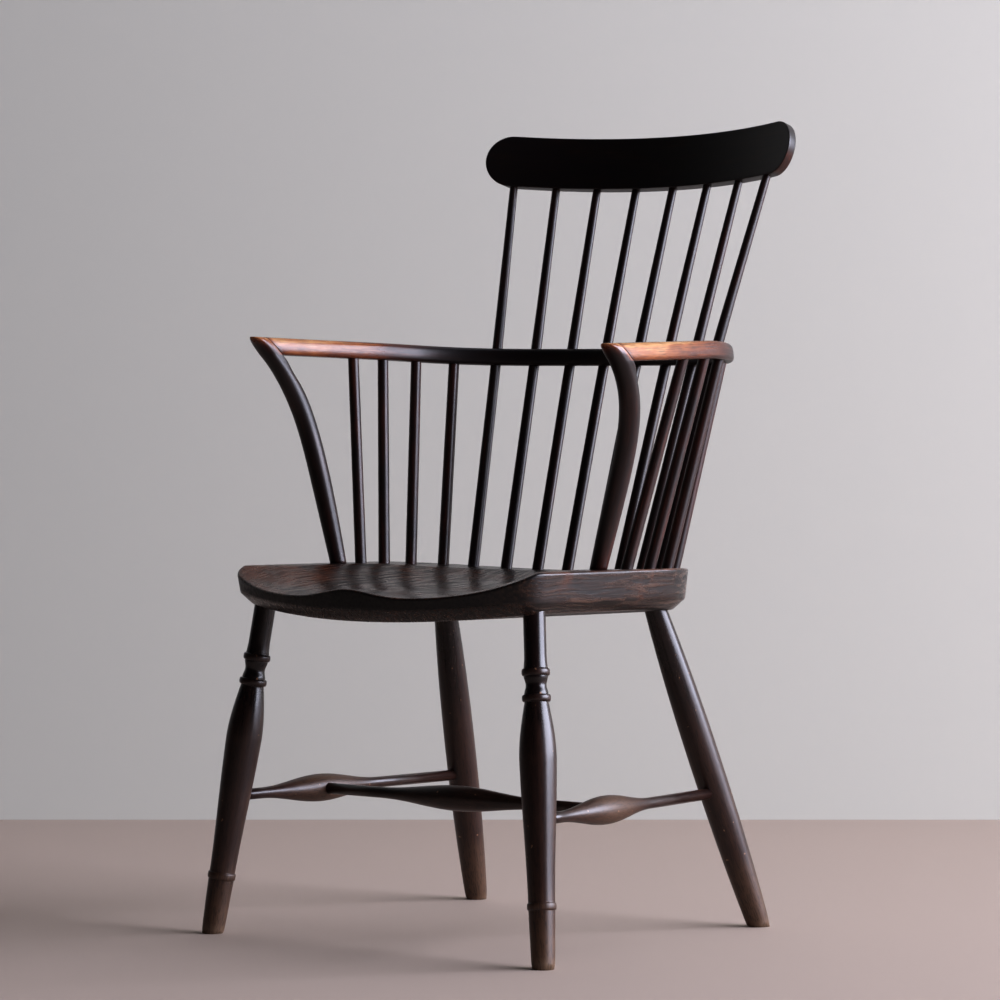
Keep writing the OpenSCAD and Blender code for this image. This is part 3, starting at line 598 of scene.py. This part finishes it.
side_front = FRONT_FOOT.lerp(FRONT_TOP, STRETCHER_H / LEG_H)
side_rear = REAR_FOOT.lerp(REAR_TOP, STRETCHER_H / LEG_H)
side_length = (side_rear - side_front).length
for side, turn in (("left", Vector), ("right", mirrored)):
    bar = turned("turned_side_stretcher_" + side, turn(side_front), turn(side_rear),
                 swell_profile(side_length, *SIDE_SWELL, SIDE_WEAR), 48)
    fixed(bar, beech, "side_stretcher_" + side)
cross_left = side_front + (side_rear - side_front).normalized() * SIDE_SWELL[0]
cross_length = 2 * cross_left.x
bar = turned("turned_cross_stretcher", mirrored(cross_left), cross_left,
             swell_profile(cross_length, cross_length / 2, *CROSS_SWELL, CROSS_WEAR), 48)
fixed(bar, beech, "cross_stretcher")


# Arm bow
# One ash rod, 25 by 21.5 mm, steamed and bent to the sitter's shape. It is a little twisted, so the
# right arm climbs and the left arm falls. The hands have worn the arms back to the bare wood, and
# each end meets its support in a slanted scarf.
ARM_H = 711.5
ARM_LIFT = 7.5
ARM_RISE = 0.25
ARM_TWIST = 1.45
LIFT_Y = 172
BOW_REAR = 214.7
BOW_W = 25
BOW_T = 21.5
BOW_LOW_ROUND = 5
# Above its widest place the side curves in gently, then turns into the top
BOW_WIDEST = -3.65
BOW_SIDE_R = 33
BOW_SIDE_A = 17
BOW_REAR_R = 512
BOW_REAR_A = 13.1
BOW_BEND_R = 180
BOW_BEND_A = 82.6
ARM_R = 2500
ARM_TIP = 177
SCARF_TOP = 20
SCARF_LOW = 46
SCARF_FIT = 0.05
# The bow's rings start to lean this far behind the scarf, and its wear fades this close to it
SCARF_LEAN = 30
SCARF_FADE = 7
# From its tip each arm is worn as far as the first length, and its polish is whole past the second
LEFT_WORN = (110, 390)
RIGHT_WORN = (100, 370)

bow_z = ARM_H - BOW_T / 2
bow_rear = (0, -BOW_REAR_R)
bow_bend = arc_point(bow_rear, BOW_REAR_R - BOW_BEND_R, BOW_REAR_A)
arm_middle = arc_point(bow_bend, BOW_BEND_R - ARM_R, BOW_BEND_A)
tip_y = -ARM_TIP - BOW_REAR
arm_tip_a = math.degrees(math.acos((tip_y - arm_middle[1]) / ARM_R))
rear_length = math.radians(BOW_REAR_A) * BOW_REAR_R
bend_length = math.radians(BOW_BEND_A - BOW_REAR_A) * BOW_BEND_R
bow_half = rear_length + bend_length + math.radians(arm_tip_a - BOW_BEND_A) * ARM_R


def bow_plan(s):
    """Place on the bow's plan and heading in degrees, at the distance s from its middle."""
    if s < rear_length:
        heading = math.degrees(s / BOW_REAR_R)
        return arc_point(bow_rear, BOW_REAR_R, heading), heading
    if s < rear_length + bend_length:
        heading = BOW_REAR_A + math.degrees((s - rear_length) / BOW_BEND_R)
        return arc_point(bow_bend, BOW_BEND_R, heading), heading
    heading = BOW_BEND_A + math.degrees((s - rear_length - bend_length) / ARM_R)
    return arc_point(arm_middle, ARM_R, heading), heading


def arm_slope(hand):
    return math.tan(math.radians(ARM_RISE - hand * ARM_TWIST))


def in_bow(x, y, up, hand):
    """A place drawn on the level plan, carried to the bow. hand is 1 on the left, -1 on the right."""
    t = min(1, -y / LIFT_Y)
    rise = ARM_LIFT * smooth(t)
    rise += arm_slope(hand) * (LIFT_Y * t * t * (t - 1) + max(0, -y - LIFT_Y))
    return Vector((x, BOW_REAR + y, bow_z + rise + up))


def bow_side():
    """One side of the rod's section, from the bottom to the top, as steps outwards and upwards."""
    turn = math.radians(BOW_SIDE_A)
    side = (BOW_W / 2 - BOW_SIDE_R, BOW_WIDEST)
    shoulder = side[1] + BOW_SIDE_R * math.sin(turn)
    top_r = (BOW_T / 2 - shoulder) / (1 - math.sin(turn))
    top = (side[0] + (BOW_SIDE_R - top_r) * math.cos(turn), BOW_T / 2 - top_r)
    bottom = (BOW_W / 2 - BOW_LOW_ROUND, BOW_LOW_ROUND - BOW_T / 2)
    made = []
    for c, r, turns in ((bottom, BOW_LOW_ROUND, steps(-90, 0, 7)),
                        (side, BOW_SIDE_R, steps(0, BOW_SIDE_A, 6)),
                        (top, top_r, steps(BOW_SIDE_A, 90, 9)[1:])):
        for degrees in turns:
            a = math.radians(degrees)
            made.append((c[0] + r * math.cos(a), c[1] + r * math.sin(a)))
    return made


def bow_mesh():
    """The rod, swept along its plan. Near each end its rings lean over to lie along the scarf."""
    side = bow_side()
    section = side[::-1] + [(-out, up) for out, up in side]
    lean_from = bow_half - SCARF_LOW - SCARF_LEAN
    half = [(s, 0) for s in steps(0, rear_length, 16)]
    half += [(s, 0) for s in steps(rear_length, rear_length + bend_length, 64)[1:]]
    half += [(s, 0) for s in steps(rear_length + bend_length, lean_from, 36)[1:]]
    # A ring just before the end keeps the arm's shading clear of the scarf
    half += [(lean_from, lean) for lean in steps(0, 0.99, 10)[1:] + [1]]
    rings, grain, wear = [], [], []
    for hand in (-1, 1):
        full, none = LEFT_WORN if hand == 1 else RIGHT_WORN
        for s, lean in half[:0:-1] if hand == -1 else half:
            ring, marks, bare = [], [], []
            for out, up in section:
                scarf = mix(SCARF_LOW, SCARF_TOP, up / BOW_T + 0.5) + SCARF_FIT
                here = mix(s, bow_half - scarf, lean)
                (x, y), heading = bow_plan(here)
                a = math.radians(heading)
                ring.append(in_bow(hand * (x + out * math.sin(a)), y + out * math.cos(a), up, hand))
                marks.append((hand * out, up, hand * here))
                worn = 1 - smooth((bow_half - here - full) / (none - full))
                from_scarf = smooth((bow_half - scarf - here) / SCARF_FADE)
                bare.append(worn * (0.8 + 0.4 * up / BOW_T) * mix(0.6, 1, from_scarf))
            rings.append(ring)
            grain.append(marks)
            wear.append(bare)
    return skin("bent_arm_bow", rings, grain, wear)


def waxed_ash():
    """Ash, cleft, shaved and steamed, under a black brown polish that hands wear away.

    It gives near black sticks with brown streaks, honey brown arms that fade in patches, cream
    wood where the arms are most worn, and a glassy gloss.
    """
    made = material("waxed_ash")
    tree = made.node_tree
    # The place in the straight blank, so that the grain follows the piece
    place = add(tree, "ShaderNodeAttribute",
                {"attribute_type": "GEOMETRY", "attribute_name": "grain"}).outputs["Vector"]
    wear = add(tree, "ShaderNodeAttribute",
               {"attribute_type": "GEOMETRY", "attribute_name": "wear"}).outputs["Fac"]
    # Streaks 4 mm wide and 90 mm long, and pores 1 mm wide and 25 mm long
    long = add(tree, "ShaderNodeMapping", None, Vector=place, Scale=(1.0, 1.0, 0.045))
    streak = add(tree, "ShaderNodeTexNoise", None,
                 Vector=long, Scale=240.0, Detail=2.0, Roughness=0.5)
    pores = add(tree, "ShaderNodeTexNoise", None, Vector=long, Scale=900.0, Detail=1.0)
    # Patches 25 mm wide and 50 mm long where the polish has gone
    blot = add(tree, "ShaderNodeMapping", None, Vector=place, Scale=(1.0, 1.0, 0.5))
    patches = add(tree, "ShaderNodeTexNoise", None,
                  Vector=blot, Scale=38.0, Detail=3.0, Roughness=0.55)
    uneven = add(tree, "ShaderNodeMath", {"operation": "ADD"}, i0=streak, i1=patches)
    rubbed = add(tree, "ShaderNodeMath", {"operation": "MULTIPLY"}, i0=wear, i1=0.65)
    tone = add(tree, "ShaderNodeMath", {"operation": "MULTIPLY_ADD"}, i0=uneven, i1=0.35, i2=rubbed)
    body = add(tree, "ShaderNodeValToRGB",
               {"stops": [(0.34, "#180f10"), (0.45, "#22120f"), (0.57, "#3d1e18"),
                          (0.72, "#63331e"), (0.88, "#8d5530"), (1.0, "#b08457")]}, Fac=tone)
    dark_pore = add(tree, "ShaderNodeValToRGB", {"stops": [(0.36, 0.45), (0.46, 0.0)]}, Fac=pores)
    tint = add(tree, "ShaderNodeMix", {"data_type": "RGBA"},
               i0=dark_pore, i6=body, i7=colour("#140a07"))
    gloss = add(tree, "ShaderNodeValToRGB", {"stops": [(0.4, 0.4), (0.8, 0.22)]}, Fac=tone)
    bump = add(tree, "ShaderNodeBump", None, Strength=0.2, Distance=0.0004, Height=streak)
    shader = add(tree, "ShaderNodeBsdfPrincipled", None, Base_Color=tint.outputs[2],
                 Roughness=gloss, Normal=bump, IOR=1.5)
    add(tree, "ShaderNodeOutputMaterial", None, Surface=shader)
    return made


ash = waxed_ash()
bow = bow_mesh()
fixed(bow, ash, "arm_bow")


# Arm supports
# Two round posts, each sawn and shaved from one piece of ash. Each rises from a tenon in the seat,
# sweeps forwards and becomes the arm's tip, squared off behind to meet the scarf.
SUPPORT_X = 202.5
SUPPORT_Y = 93.5
SUPPORT_D = 20
SUPPORT_TOP_D = 25
SUPPORT_BOW = 0.03
SUPPORT_SWEEP = 5.5
FULL_WIDTH_T = 0.51
SQUARE_T = 0.9
SQUARE_CORNER = 0.12
STRETCH_T = 0.75
SUPPORT_TENON = (16, 27)
POST_POINTS = 48
# Rounding of the arm's very tip, as a share of how far the sides round in
TIP_SHARE = 0.25

head_low = bow_plan(bow_half - SCARF_LOW + SUPPORT_TOP_D / 2)[0]


def post_section(a, b, square):
    """Steps sideways and backwards round a post: half an ellipse in front, squared off behind."""
    made = []
    power = mix(1, SQUARE_CORNER, square)
    for i in range(POST_POINTS):
        c = math.cos(math.tau * i / POST_POINTS)
        s = math.sin(math.tau * i / POST_POINTS)
        if s < 0:
            made.append(Vector((math.copysign(a * abs(c) ** power, c), b * abs(s) ** power)))
        else:
            made.append(Vector((a * c, -b * s)))
    return made


def support_mesh(side, hand):
    """One support: its tenon, its shaft, and the tip of the arm above it.

    The tip is worn bare on top, and behind it meets the wood of the arm.
    """
    foot = Vector((SUPPORT_X, -SUPPORT_Y, rim_z(hand * SUPPORT_X, -SUPPORT_Y)))
    end = in_bow(*head_low, -BOW_T / 2, hand)
    rings, grain, wear = [], [], []

    def place(ring, section, level, bare, rear=0):
        rings.append([Vector((hand * p.x, p.y, p.z)) for p in ring])
        grain.append([(d.x, d.y, level) for d in section])
        wear.append([bare + rear * smooth(d.y / max(e.y for e in section)) for d in section])

    def middle(t):
        return Vector((mix(foot.x, end.x, t + SUPPORT_BOW * math.sin(math.pi * t * t)),
                       mix(foot.y, end.y, t ** SUPPORT_SWEEP), mix(foot.z, end.z, t)))

    def shaft(t):
        """A level cut through the round post, so it is stretched along the way the post leans."""
        r = mix(SUPPORT_D, SUPPORT_TOP_D, math.sin(math.radians(90 * min(1, t / FULL_WIDTH_T)))) / 2
        section = post_section(r, r, smooth((t - SQUARE_T) / (1 - SQUARE_T)))
        rise = middle(t + 0.01) - middle(max(0, t - 0.01))
        lean = rise.xy / rise.z
        stretch = (1 - smooth((t - STRETCH_T) / (1 - STRETCH_T))) / 2
        slope = mix(RIM_FALL, arm_slope(hand), t)
        c = middle(t)
        ring = []
        for d in section:
            x, y = d + lean * lean.dot(d) * stretch
            ring.append(Vector((c.x + x, c.y + y, c.z - slope * y)))
        place(ring, section, c.z, mix(0.22, 0.1, t))

    down = (foot - Vector((end.x, foot.y, end.z))).normalized() * SUPPORT_TENON[1]
    section = post_section(SUPPORT_TENON[0] / 2, SUPPORT_TENON[0] / 2, 0)
    place([foot + down + d.to_3d() for d in section], section, foot.z + down.z, 0)
    place([foot + d.to_3d() for d in section], section, foot.z, 0)
    for t in steps(0, 1, 60):
        shaft(t)
    levels = [(h, BOW_W / 2 - out) for out, h in bow_side() if h >= BOW_WIDEST]
    for h, inset in [(-BOW_T / 2 + 1, 0)] + levels:
        t = h / BOW_T + 0.5
        front = mix(SCARF_LOW - SUPPORT_TOP_D, 0, t) + inset * TIP_SHARE
        rear = mix(SCARF_LOW, SCARF_TOP, t)
        x, y = bow_plan(bow_half - (front + rear) / 2)[0]
        section = post_section(SUPPORT_TOP_D / 2 - inset, (rear - front) / 2, 1)
        place([in_bow(x + d.x, y + d.y, h, hand) for d in section], section, ARM_H + h,
              mix(0.12, 0.95, t * t), 0.55 * (1 - t * t))
    return skin("shaped_arm_support_" + side, rings, grain, wear)


for side, hand in (("left", 1), ("right", -1)):
    fixed(support_mesh(side, hand), ash, "arm_support_" + side)


# Sticks
# Eight long sticks rise from the seat through the bow into the comb, and four short ones a side
# rise from the seat into the arms. They are ash, cleft and shaved round, so they are sprung a
# little to meet their holes and no two are quite even.
SEAT_PITCH_A = 7.25
STICK_INSET = 18
ARM_STICK_X = 207.5
ARM_STICK_SPACING = 45
ARM_STICK_R = 150
BOW_SPACING = 51.2
COMB_SPACING = 58.7
STICK_SHIFT = 3
STICK_TENON = 27
STICK_D = (14.4, 13.2, 10.2)
ARM_STICK_D = (14.4, 13.4)
# A back stick runs straight this far on each side of the bow, and an arm stick ends past its middle
STICK_STRAIGHT = 14
ARM_STICK_PAST = 3
STICKS_A_SIDE = 4
STICK_STEP = 8
BEND_EASING = 60
STICK_FACETS = 24
STICK_UNEVENNESS = 0.05
# A stick's grain is that of a blank of this radius, in metres
BLANK_R = 0.0065
BACK_STICK_WEAR = 0.14
ARM_STICK_WEAR = 0.24
COMB_H = 914
COMB_REAR = 284.3
COMB_R = 554
COMB_RAKE = math.radians(13.6)
COMB_TILT = math.tan(math.radians(0.35))
COMB_TENON = 27


def seat_stick(i, hand):
    x, y = arc_point(rear_edge, REAR_EDGE_R - STICK_INSET, (i + 0.5) * SEAT_PITCH_A)
    return Vector((x, y, rim_z(hand * x, y)))


def seat_arm_stick(i, hand):
    s = (i - 1) * ARM_STICK_SPACING
    x, y = ARM_STICK_X, s
    if s > 0:
        x, y = arc_point((ARM_STICK_X - ARM_STICK_R, 0), ARM_STICK_R,
                         90 - math.degrees(s / ARM_STICK_R))
    return Vector((x, y, rim_z(hand * x, y)))


def comb_stick(i, hand):
    s = (i + 0.5) * COMB_SPACING + hand * STICK_SHIFT
    x, y = arc_point((0, -COMB_R), COMB_R, math.degrees(s / COMB_R))
    return Vector((x, COMB_REAR + y * math.cos(COMB_RAKE),
                   COMB_H - y * math.sin(COMB_RAKE) + hand * x * COMB_TILT))


def bow_stick(s, hand):
    x, y = bow_plan(s)[0]
    return in_bow(x, y, 0, hand)


def towards(p, q, length):
    return p + (q - p).normalized() * length


def stick_path(corners, diameters):
    """Points a step apart along a stick, eased round its bend, each with a diameter."""
    made = []
    for k in range(len(corners) - 1):
        count = max(1, round((corners[k + 1] - corners[k]).length / STICK_STEP))
        for t in steps(0, 1, count)[:-1]:
            made.append((corners[k].lerp(corners[k + 1], t), mix(diameters[k], diameters[k + 1], t)))
    made.append((corners[-1], diameters[-1]))
    for _ in range(BEND_EASING):
        eased = [(a[0] / 4 + b[0] / 2 + c[0] / 4, b[1]) for a, b, c in zip(made, made[1:], made[2:])]
        made = made[:1] + eased + made[-1:]
    return made


def stick_tree():
    """Follows each path with a round section, its thickness slightly uneven, as a shave leaves it."""
    tree = bpy.data.node_groups.new("shaved_stick", "GeometryNodeTree")
    ports = tree.interface
    ports.new_socket("Geometry", in_out="INPUT", socket_type="NodeSocketGeometry")
    ports.new_socket("Geometry", in_out="OUTPUT", socket_type="NodeSocketGeometry")
    for name, kind in (("Facets", "Int"), ("Unevenness", "Float"), ("Seed", "Float"),
                       ("Wear", "Float"), ("Finish", "Material")):
        ports.new_socket(name, in_out="INPUT", socket_type="NodeSocket" + kind)
    given = add(tree, "NodeGroupInput")
    line = add(tree, "GeometryNodeMeshToCurve", None, Mesh=given.outputs["Geometry"])
    along = add(tree, "GeometryNodeSplineParameter")
    radius = add(tree, "GeometryNodeInputNamedAttribute", {"data_type": "FLOAT"}, Name="radius")
    uneven = add(tree, "ShaderNodeTexNoise", {"noise_dimensions": "2D"},
                 Vector=add(tree, "ShaderNodeCombineXYZ", None,
                            X=along.outputs["Length"], Y=given.outputs["Seed"]),
                 Scale=14.0, Detail=2.0)
    swing = add(tree, "ShaderNodeMath", {"operation": "SUBTRACT"}, i0=uneven, i1=0.5)
    share = add(tree, "ShaderNodeMath", {"operation": "MULTIPLY_ADD"},
                i0=swing, i1=given.outputs["Unevenness"], i2=1.0)
    thick = add(tree, "ShaderNodeMath", {"operation": "MULTIPLY"},
                i0=share, i1=radius.outputs["Attribute"])
    length = add(tree, "GeometryNodeStoreNamedAttribute", {"data_type": "FLOAT", "domain": "POINT"},
                 Geometry=line, Name="stick_length", Value=along.outputs["Length"])
    ring = add(tree, "GeometryNodeCurvePrimitiveCircle", {"mode": "RADIUS"},
               Resolution=given.outputs["Facets"], Radius=1.0)
    across_ring = add(tree, "GeometryNodeStoreNamedAttribute",
                      {"data_type": "FLOAT_VECTOR", "domain": "POINT"},
                      Geometry=ring, Name="stick_section",
                      Value=add(tree, "GeometryNodeInputPosition"))
    swept = add(tree, "GeometryNodeCurveToMesh", None, Curve=length,
                Profile_Curve=across_ring, Scale=thick, Fill_Caps=True)
    section = add(tree, "GeometryNodeInputNamedAttribute", {"data_type": "FLOAT_VECTOR"},
                  Name="stick_section")
    split = add(tree, "ShaderNodeSeparateXYZ", None, Vector=section.outputs["Attribute"])
    reach = add(tree, "GeometryNodeInputNamedAttribute", {"data_type": "FLOAT"}, Name="stick_length")
    seeded = add(tree, "ShaderNodeMath", {"operation": "ADD"},
                 i0=reach.outputs["Attribute"], i1=given.outputs["Seed"])
    small = [add(tree, "ShaderNodeMath", {"operation": "MULTIPLY"}, i0=split.outputs[k], i1=BLANK_R)
             for k in (0, 1)]
    blank = add(tree, "ShaderNodeCombineXYZ", None, X=small[0], Y=small[1], Z=seeded)
    marked = add(tree, "GeometryNodeStoreNamedAttribute",
                 {"data_type": "FLOAT_VECTOR", "domain": "POINT"},
                 Geometry=swept, Name="grain", Value=blank)
    rubbed = add(tree, "GeometryNodeStoreNamedAttribute", {"data_type": "FLOAT", "domain": "POINT"},
                 Geometry=marked, Name="wear", Value=given.outputs["Wear"])
    smoothed = add(tree, "GeometryNodeSetShadeSmooth", None, Geometry=rubbed)
    real = add(tree, "GeometryNodeRealizeInstances", None, Geometry=smoothed)
    done = add(tree, "GeometryNodeSetMaterial", None, Geometry=real,
               Material=given.outputs["Finish"])
    add(tree, "NodeGroupOutput", None, Geometry=done)
    return tree


shaved_stick = stick_tree()


def stick(name, corners, diameters, hand, seed, wear):
    """One stick, swept by the tree along its eased path and baked to a plain mesh."""
    path = stick_path(corners, diameters)
    mesh = bpy.data.meshes.new(name)
    mesh.from_pydata([Vector((hand * p.x, p.y, p.z)) / 1000 for p, d in path],
                     [(i, i + 1) for i in range(len(path) - 1)], [])
    layer = mesh.attributes.new("radius", "FLOAT", "POINT")
    layer.data.foreach_set("value", [d / 2000 for p, d in path])
    piece = bpy.data.objects.new(name, mesh)
    bpy.context.collection.objects.link(piece)
    sweep = piece.modifiers.new("shave", "NODES")
    sweep.node_group = shaved_stick
    names = {s.name: s.identifier for s in shaved_stick.interface.items_tree if s.in_out == "INPUT"}
    sweep[names["Facets"]] = STICK_FACETS
    sweep[names["Unevenness"]] = STICK_UNEVENNESS
    sweep[names["Seed"]] = float(seed)
    sweep[names["Wear"]] = wear
    sweep[names["Finish"]] = ash
    seen = piece.evaluated_get(bpy.context.evaluated_depsgraph_get())
    baked = bpy.data.meshes.new_from_object(seen)
    piece.modifiers.clear()
    piece.data = baked
    return piece


back_stick_d = [d for d in STICK_D for _ in range(2)]
arm_stick_d = [ARM_STICK_D[0], *ARM_STICK_D]
for side, hand in (("right", -1), ("left", 1)):
    for i in range(STICKS_A_SIDE):
        foot, top = seat_stick(i, hand), comb_stick(i, hand)
        mid = bow_stick((i + 0.5) * BOW_SPACING + hand * STICK_SHIFT, hand)
        lead = (top - foot).normalized() * STICK_STRAIGHT
        number = STICKS_A_SIDE - i if side == "right" else STICKS_A_SIDE + 1 + i
        made = stick("shaved_back_stick_%d" % number,
                     [towards(foot, mid, -STICK_TENON), foot, mid - lead, mid + lead, top,
                      towards(top, mid, -COMB_TENON)],
                     back_stick_d, hand, number, BACK_STICK_WEAR)
        fixed(made, ash, "back_stick_%d" % number)
        foot = seat_arm_stick(i, hand)
        mid = bow_stick((2 * STICKS_A_SIDE - i - 0.5) * BOW_SPACING, hand)
        made = stick("shaved_arm_stick_%s_%d" % (side, i + 1),
                     [towards(foot, mid, -STICK_TENON), foot, towards(mid, foot, -ARM_STICK_PAST)],
                     arm_stick_d, hand, 20 + 10 * hand + i, ARM_STICK_WEAR)
        fixed(made, ash, "arm_stick_%s_%d" % (side, i + 1))


# Comb
# One ash board 66.5 mm high, steamed to a curve, with round ends and eased edges. The eight back
# sticks end in sockets in its lower edge. Its polish is the least worn on the chair.
COMB_BOARD = 66.5
COMB_W = 483
COMB_SIDE = 6.5
COMB_T = 18
COMB_END_T = 13
COMB_EDGE_R = 1.2
COMB_BAR_STEPS = 70
COMB_END_STEPS = 30
# Only the lower halves of the round ends are rubbed brown, fading in over these lengths
COMB_WEAR = 0.3
COMB_END_FADE = 12
COMB_LOW_FADE = 15


def comb_mesh():
    """Two bent faces inside a round-ended outline, with a rounded edge between them."""
    thinning = (COMB_T - COMB_END_T) / (1 - math.cos(math.asin(COMB_W / 2 / COMB_R)))
    back_r = COMB_R + COMB_T / 2
    front_r = COMB_R - COMB_T / 2 + thinning
    bar = (COMB_W - COMB_BOARD) / 2
    half = COMB_BOARD / 2
    half_turn = steps(0, math.pi, COMB_END_STEPS)[:-1]

    def outline(inset):
        r = half - inset
        made = [(bar - t, r) for t in steps(0, 2 * bar, COMB_BAR_STEPS)[:-1]]
        made += [(-bar - r * math.sin(a), r * math.cos(a)) for a in half_turn]
        made += [(-bar + t, -r) for t in steps(0, 2 * bar, COMB_BAR_STEPS)[:-1]]
        made += [(bar + r * math.sin(a), -r * math.cos(a)) for a in half_turn]
        return made

    def back_y(x):
        return -COMB_R + math.sqrt(back_r ** 2 - x * x)

    def front_y(x):
        return -COMB_R - thinning + math.sqrt(front_r ** 2 - x * x)

    def ring(inset, share, ease):
        made = []
        for x, z in outline(inset):
            x += COMB_SIDE
            y = mix(front_y(x) + ease, back_y(x) - ease, share)
            up = z + half
            made.append((x, COMB_REAR + y * math.cos(COMB_RAKE) + up * math.sin(COMB_RAKE),
                         COMB_H - y * math.sin(COMB_RAKE) + up * math.cos(COMB_RAKE)
                         + x * COMB_TILT))
        return made

    turns = [math.radians(a) for a in steps(0, 90, 4)]
    insets = [0.6 * half, 0.3 * half, 0.1 * half]
    levels = [(inset, 0, 0) for inset in insets]
    levels += [(COMB_EDGE_R * (1 - math.sin(a)), 0, COMB_EDGE_R * (1 - math.cos(a))) for a in turns]
    levels += [(0, t, COMB_EDGE_R) for t in (0.33, 0.67)]
    levels += [(COMB_EDGE_R * (1 - math.cos(a)), 1, COMB_EDGE_R * (1 - math.sin(a))) for a in turns]
    levels += [(inset, 1, 0) for inset in insets[::-1]]
    rings = [ring(*level) for level in levels]
    grain = [[(mix(0, COMB_T, share), z, x) for x, z in outline(inset)] for inset, share, _ in levels]
    wear = []
    for inset, share, ease in levels:
        wear.append([COMB_WEAR * smooth((abs(x) - bar) / COMB_END_FADE) * smooth(-z / COMB_LOW_FADE)
                     if ease else 0 for x, z in outline(inset)])
    # The bent faces are closed by a strip across the bar and one face at each end
    low = 2 * COMB_BAR_STEPS + COMB_END_STEPS
    caps = [[i, i + 1, low - 1 - i, low - i] for i in range(COMB_BAR_STEPS)]
    caps.append(list(range(COMB_BAR_STEPS, COMB_BAR_STEPS + COMB_END_STEPS + 1)))
    caps.append(list(range(low, low + COMB_END_STEPS)) + [0])
    return skin("bent_comb", rings, grain, wear, caps)


comb = comb_mesh()
fixed(comb, ash, "comb")


# Studio
# A plain pale floor and a plain pale wall, 1.3 m behind the chair as the camera looks at it, a large
# window of soft light to the right and a weak one overhead. The room in front is dark, as the
# polish shows. Sizes here are in metres.
CAMERA_PLACE = (3.2766, -4.1040, 0.6713)
CAMERA_TURN = math.radians(38.784)
CAMERA_PITCH = math.radians(90 - 1.5922)
CAMERA_LENS_MM = 154.59
CAMERA_SENSOR_MM = 36
WALL_BACK = 1.3
WALL_HALF = 5
WALL_H = 4
FLOOR_HALF = 9
to_right = Vector((math.cos(CAMERA_TURN), math.sin(CAMERA_TURN), 0))
to_back = Vector((-math.sin(CAMERA_TURN), math.cos(CAMERA_TURN), 0))


def flat_sheet(name, corners, finish):
    mesh = bpy.data.meshes.new(name)
    mesh.from_pydata(corners, [], [(0, 1, 2, 3)])
    made = bpy.data.objects.new(name, mesh)
    bpy.context.collection.objects.link(made)
    mesh.materials.append(finish)


pale_floor = material("pale_floor")
shader = add(pale_floor.node_tree, "ShaderNodeBsdfPrincipled", None,
             Base_Color=colour("#b3a295"), Roughness=0.8)
add(pale_floor.node_tree, "ShaderNodeOutputMaterial", None, Surface=shader)
flat_sheet("floor", [(-FLOOR_HALF, -FLOOR_HALF, 0), (FLOOR_HALF, -FLOOR_HALF, 0),
                     (FLOOR_HALF, FLOOR_HALF, 0), (-FLOOR_HALF, FLOOR_HALF, 0)], pale_floor)

# The wall is seen from its front only, so that it doesn't hide the chair from behind
pale_wall = material("pale_wall")
tree = pale_wall.node_tree
paint = add(tree, "ShaderNodeBsdfPrincipled", None, Base_Color=colour("#cbc9bf"), Roughness=0.9)
clear = add(tree, "ShaderNodeBsdfTransparent")
rear = add(tree, "ShaderNodeNewGeometry").outputs["Backfacing"]
either = add(tree, "ShaderNodeMixShader", None, i0=rear, i1=paint, i2=clear)
add(tree, "ShaderNodeOutputMaterial", None, Surface=either)
low_left = to_back * WALL_BACK - to_right * WALL_HALF
low_right = to_back * WALL_BACK + to_right * WALL_HALF
up = Vector((0, 0, WALL_H))
flat_sheet("wall", [low_left, low_right, low_right + up, low_left + up], pale_wall)

sky = bpy.data.worlds.new("studio")
sky.use_nodes = True
tree = sky.node_tree
tree.nodes.clear()
seen = add(tree, "ShaderNodeLightPath").outputs["Is Camera Ray"]
dark_room = add(tree, "ShaderNodeBackground", None, Color=colour("#c9ccd6"), Strength=0.05)
backdrop = add(tree, "ShaderNodeBackground", None, Color=colour("#c4c3c2"), Strength=1.0)
mixed = add(tree, "ShaderNodeMixShader", None, i0=seen, i1=dark_room, i2=backdrop)
add(tree, "ShaderNodeOutputWorld", None, Surface=mixed)
bpy.context.scene.world = sky
# The photograph's darks are deep, which a low gamma gives
bpy.context.scene.view_settings.view_transform = "Standard"
bpy.context.scene.view_settings.gamma = 0.8


def soft_light(name, place, aim, width, height, power, tint):
    lamp = bpy.data.lights.new(name, "AREA")
    lamp.shape = "RECTANGLE"
    lamp.size = width
    lamp.size_y = height
    lamp.energy = power
    lamp.color = colour(tint)[:3]
    made = bpy.data.objects.new(name, lamp)
    made.location = place
    made.rotation_euler = (Vector(aim) - Vector(place)).to_track_quat("-Z", "Y").to_euler()
    bpy.context.collection.objects.link(made)


soft_light("window", to_right * 6 - to_back * 1.1 + Vector((0, 0, 2.4)), aim=(0, 0, 0.7),
           width=7, height=3.6, power=1400, tint="#e8ebfd")
soft_light("high_window", to_right * 1.2 + to_back * 0.8 + Vector((0, 0, 4.2)), aim=(0, 0, 0),
           width=3, height=3, power=40, tint="#e6ecff")

lens = bpy.data.cameras.new("camera")
lens.sensor_width = CAMERA_SENSOR_MM
lens.lens = CAMERA_LENS_MM
camera = bpy.data.objects.new("camera", lens)
camera.location = CAMERA_PLACE
camera.rotation_euler = (CAMERA_PITCH, 0, CAMERA_TURN)
bpy.context.collection.objects.link(camera)
bpy.context.scene.camera = camera
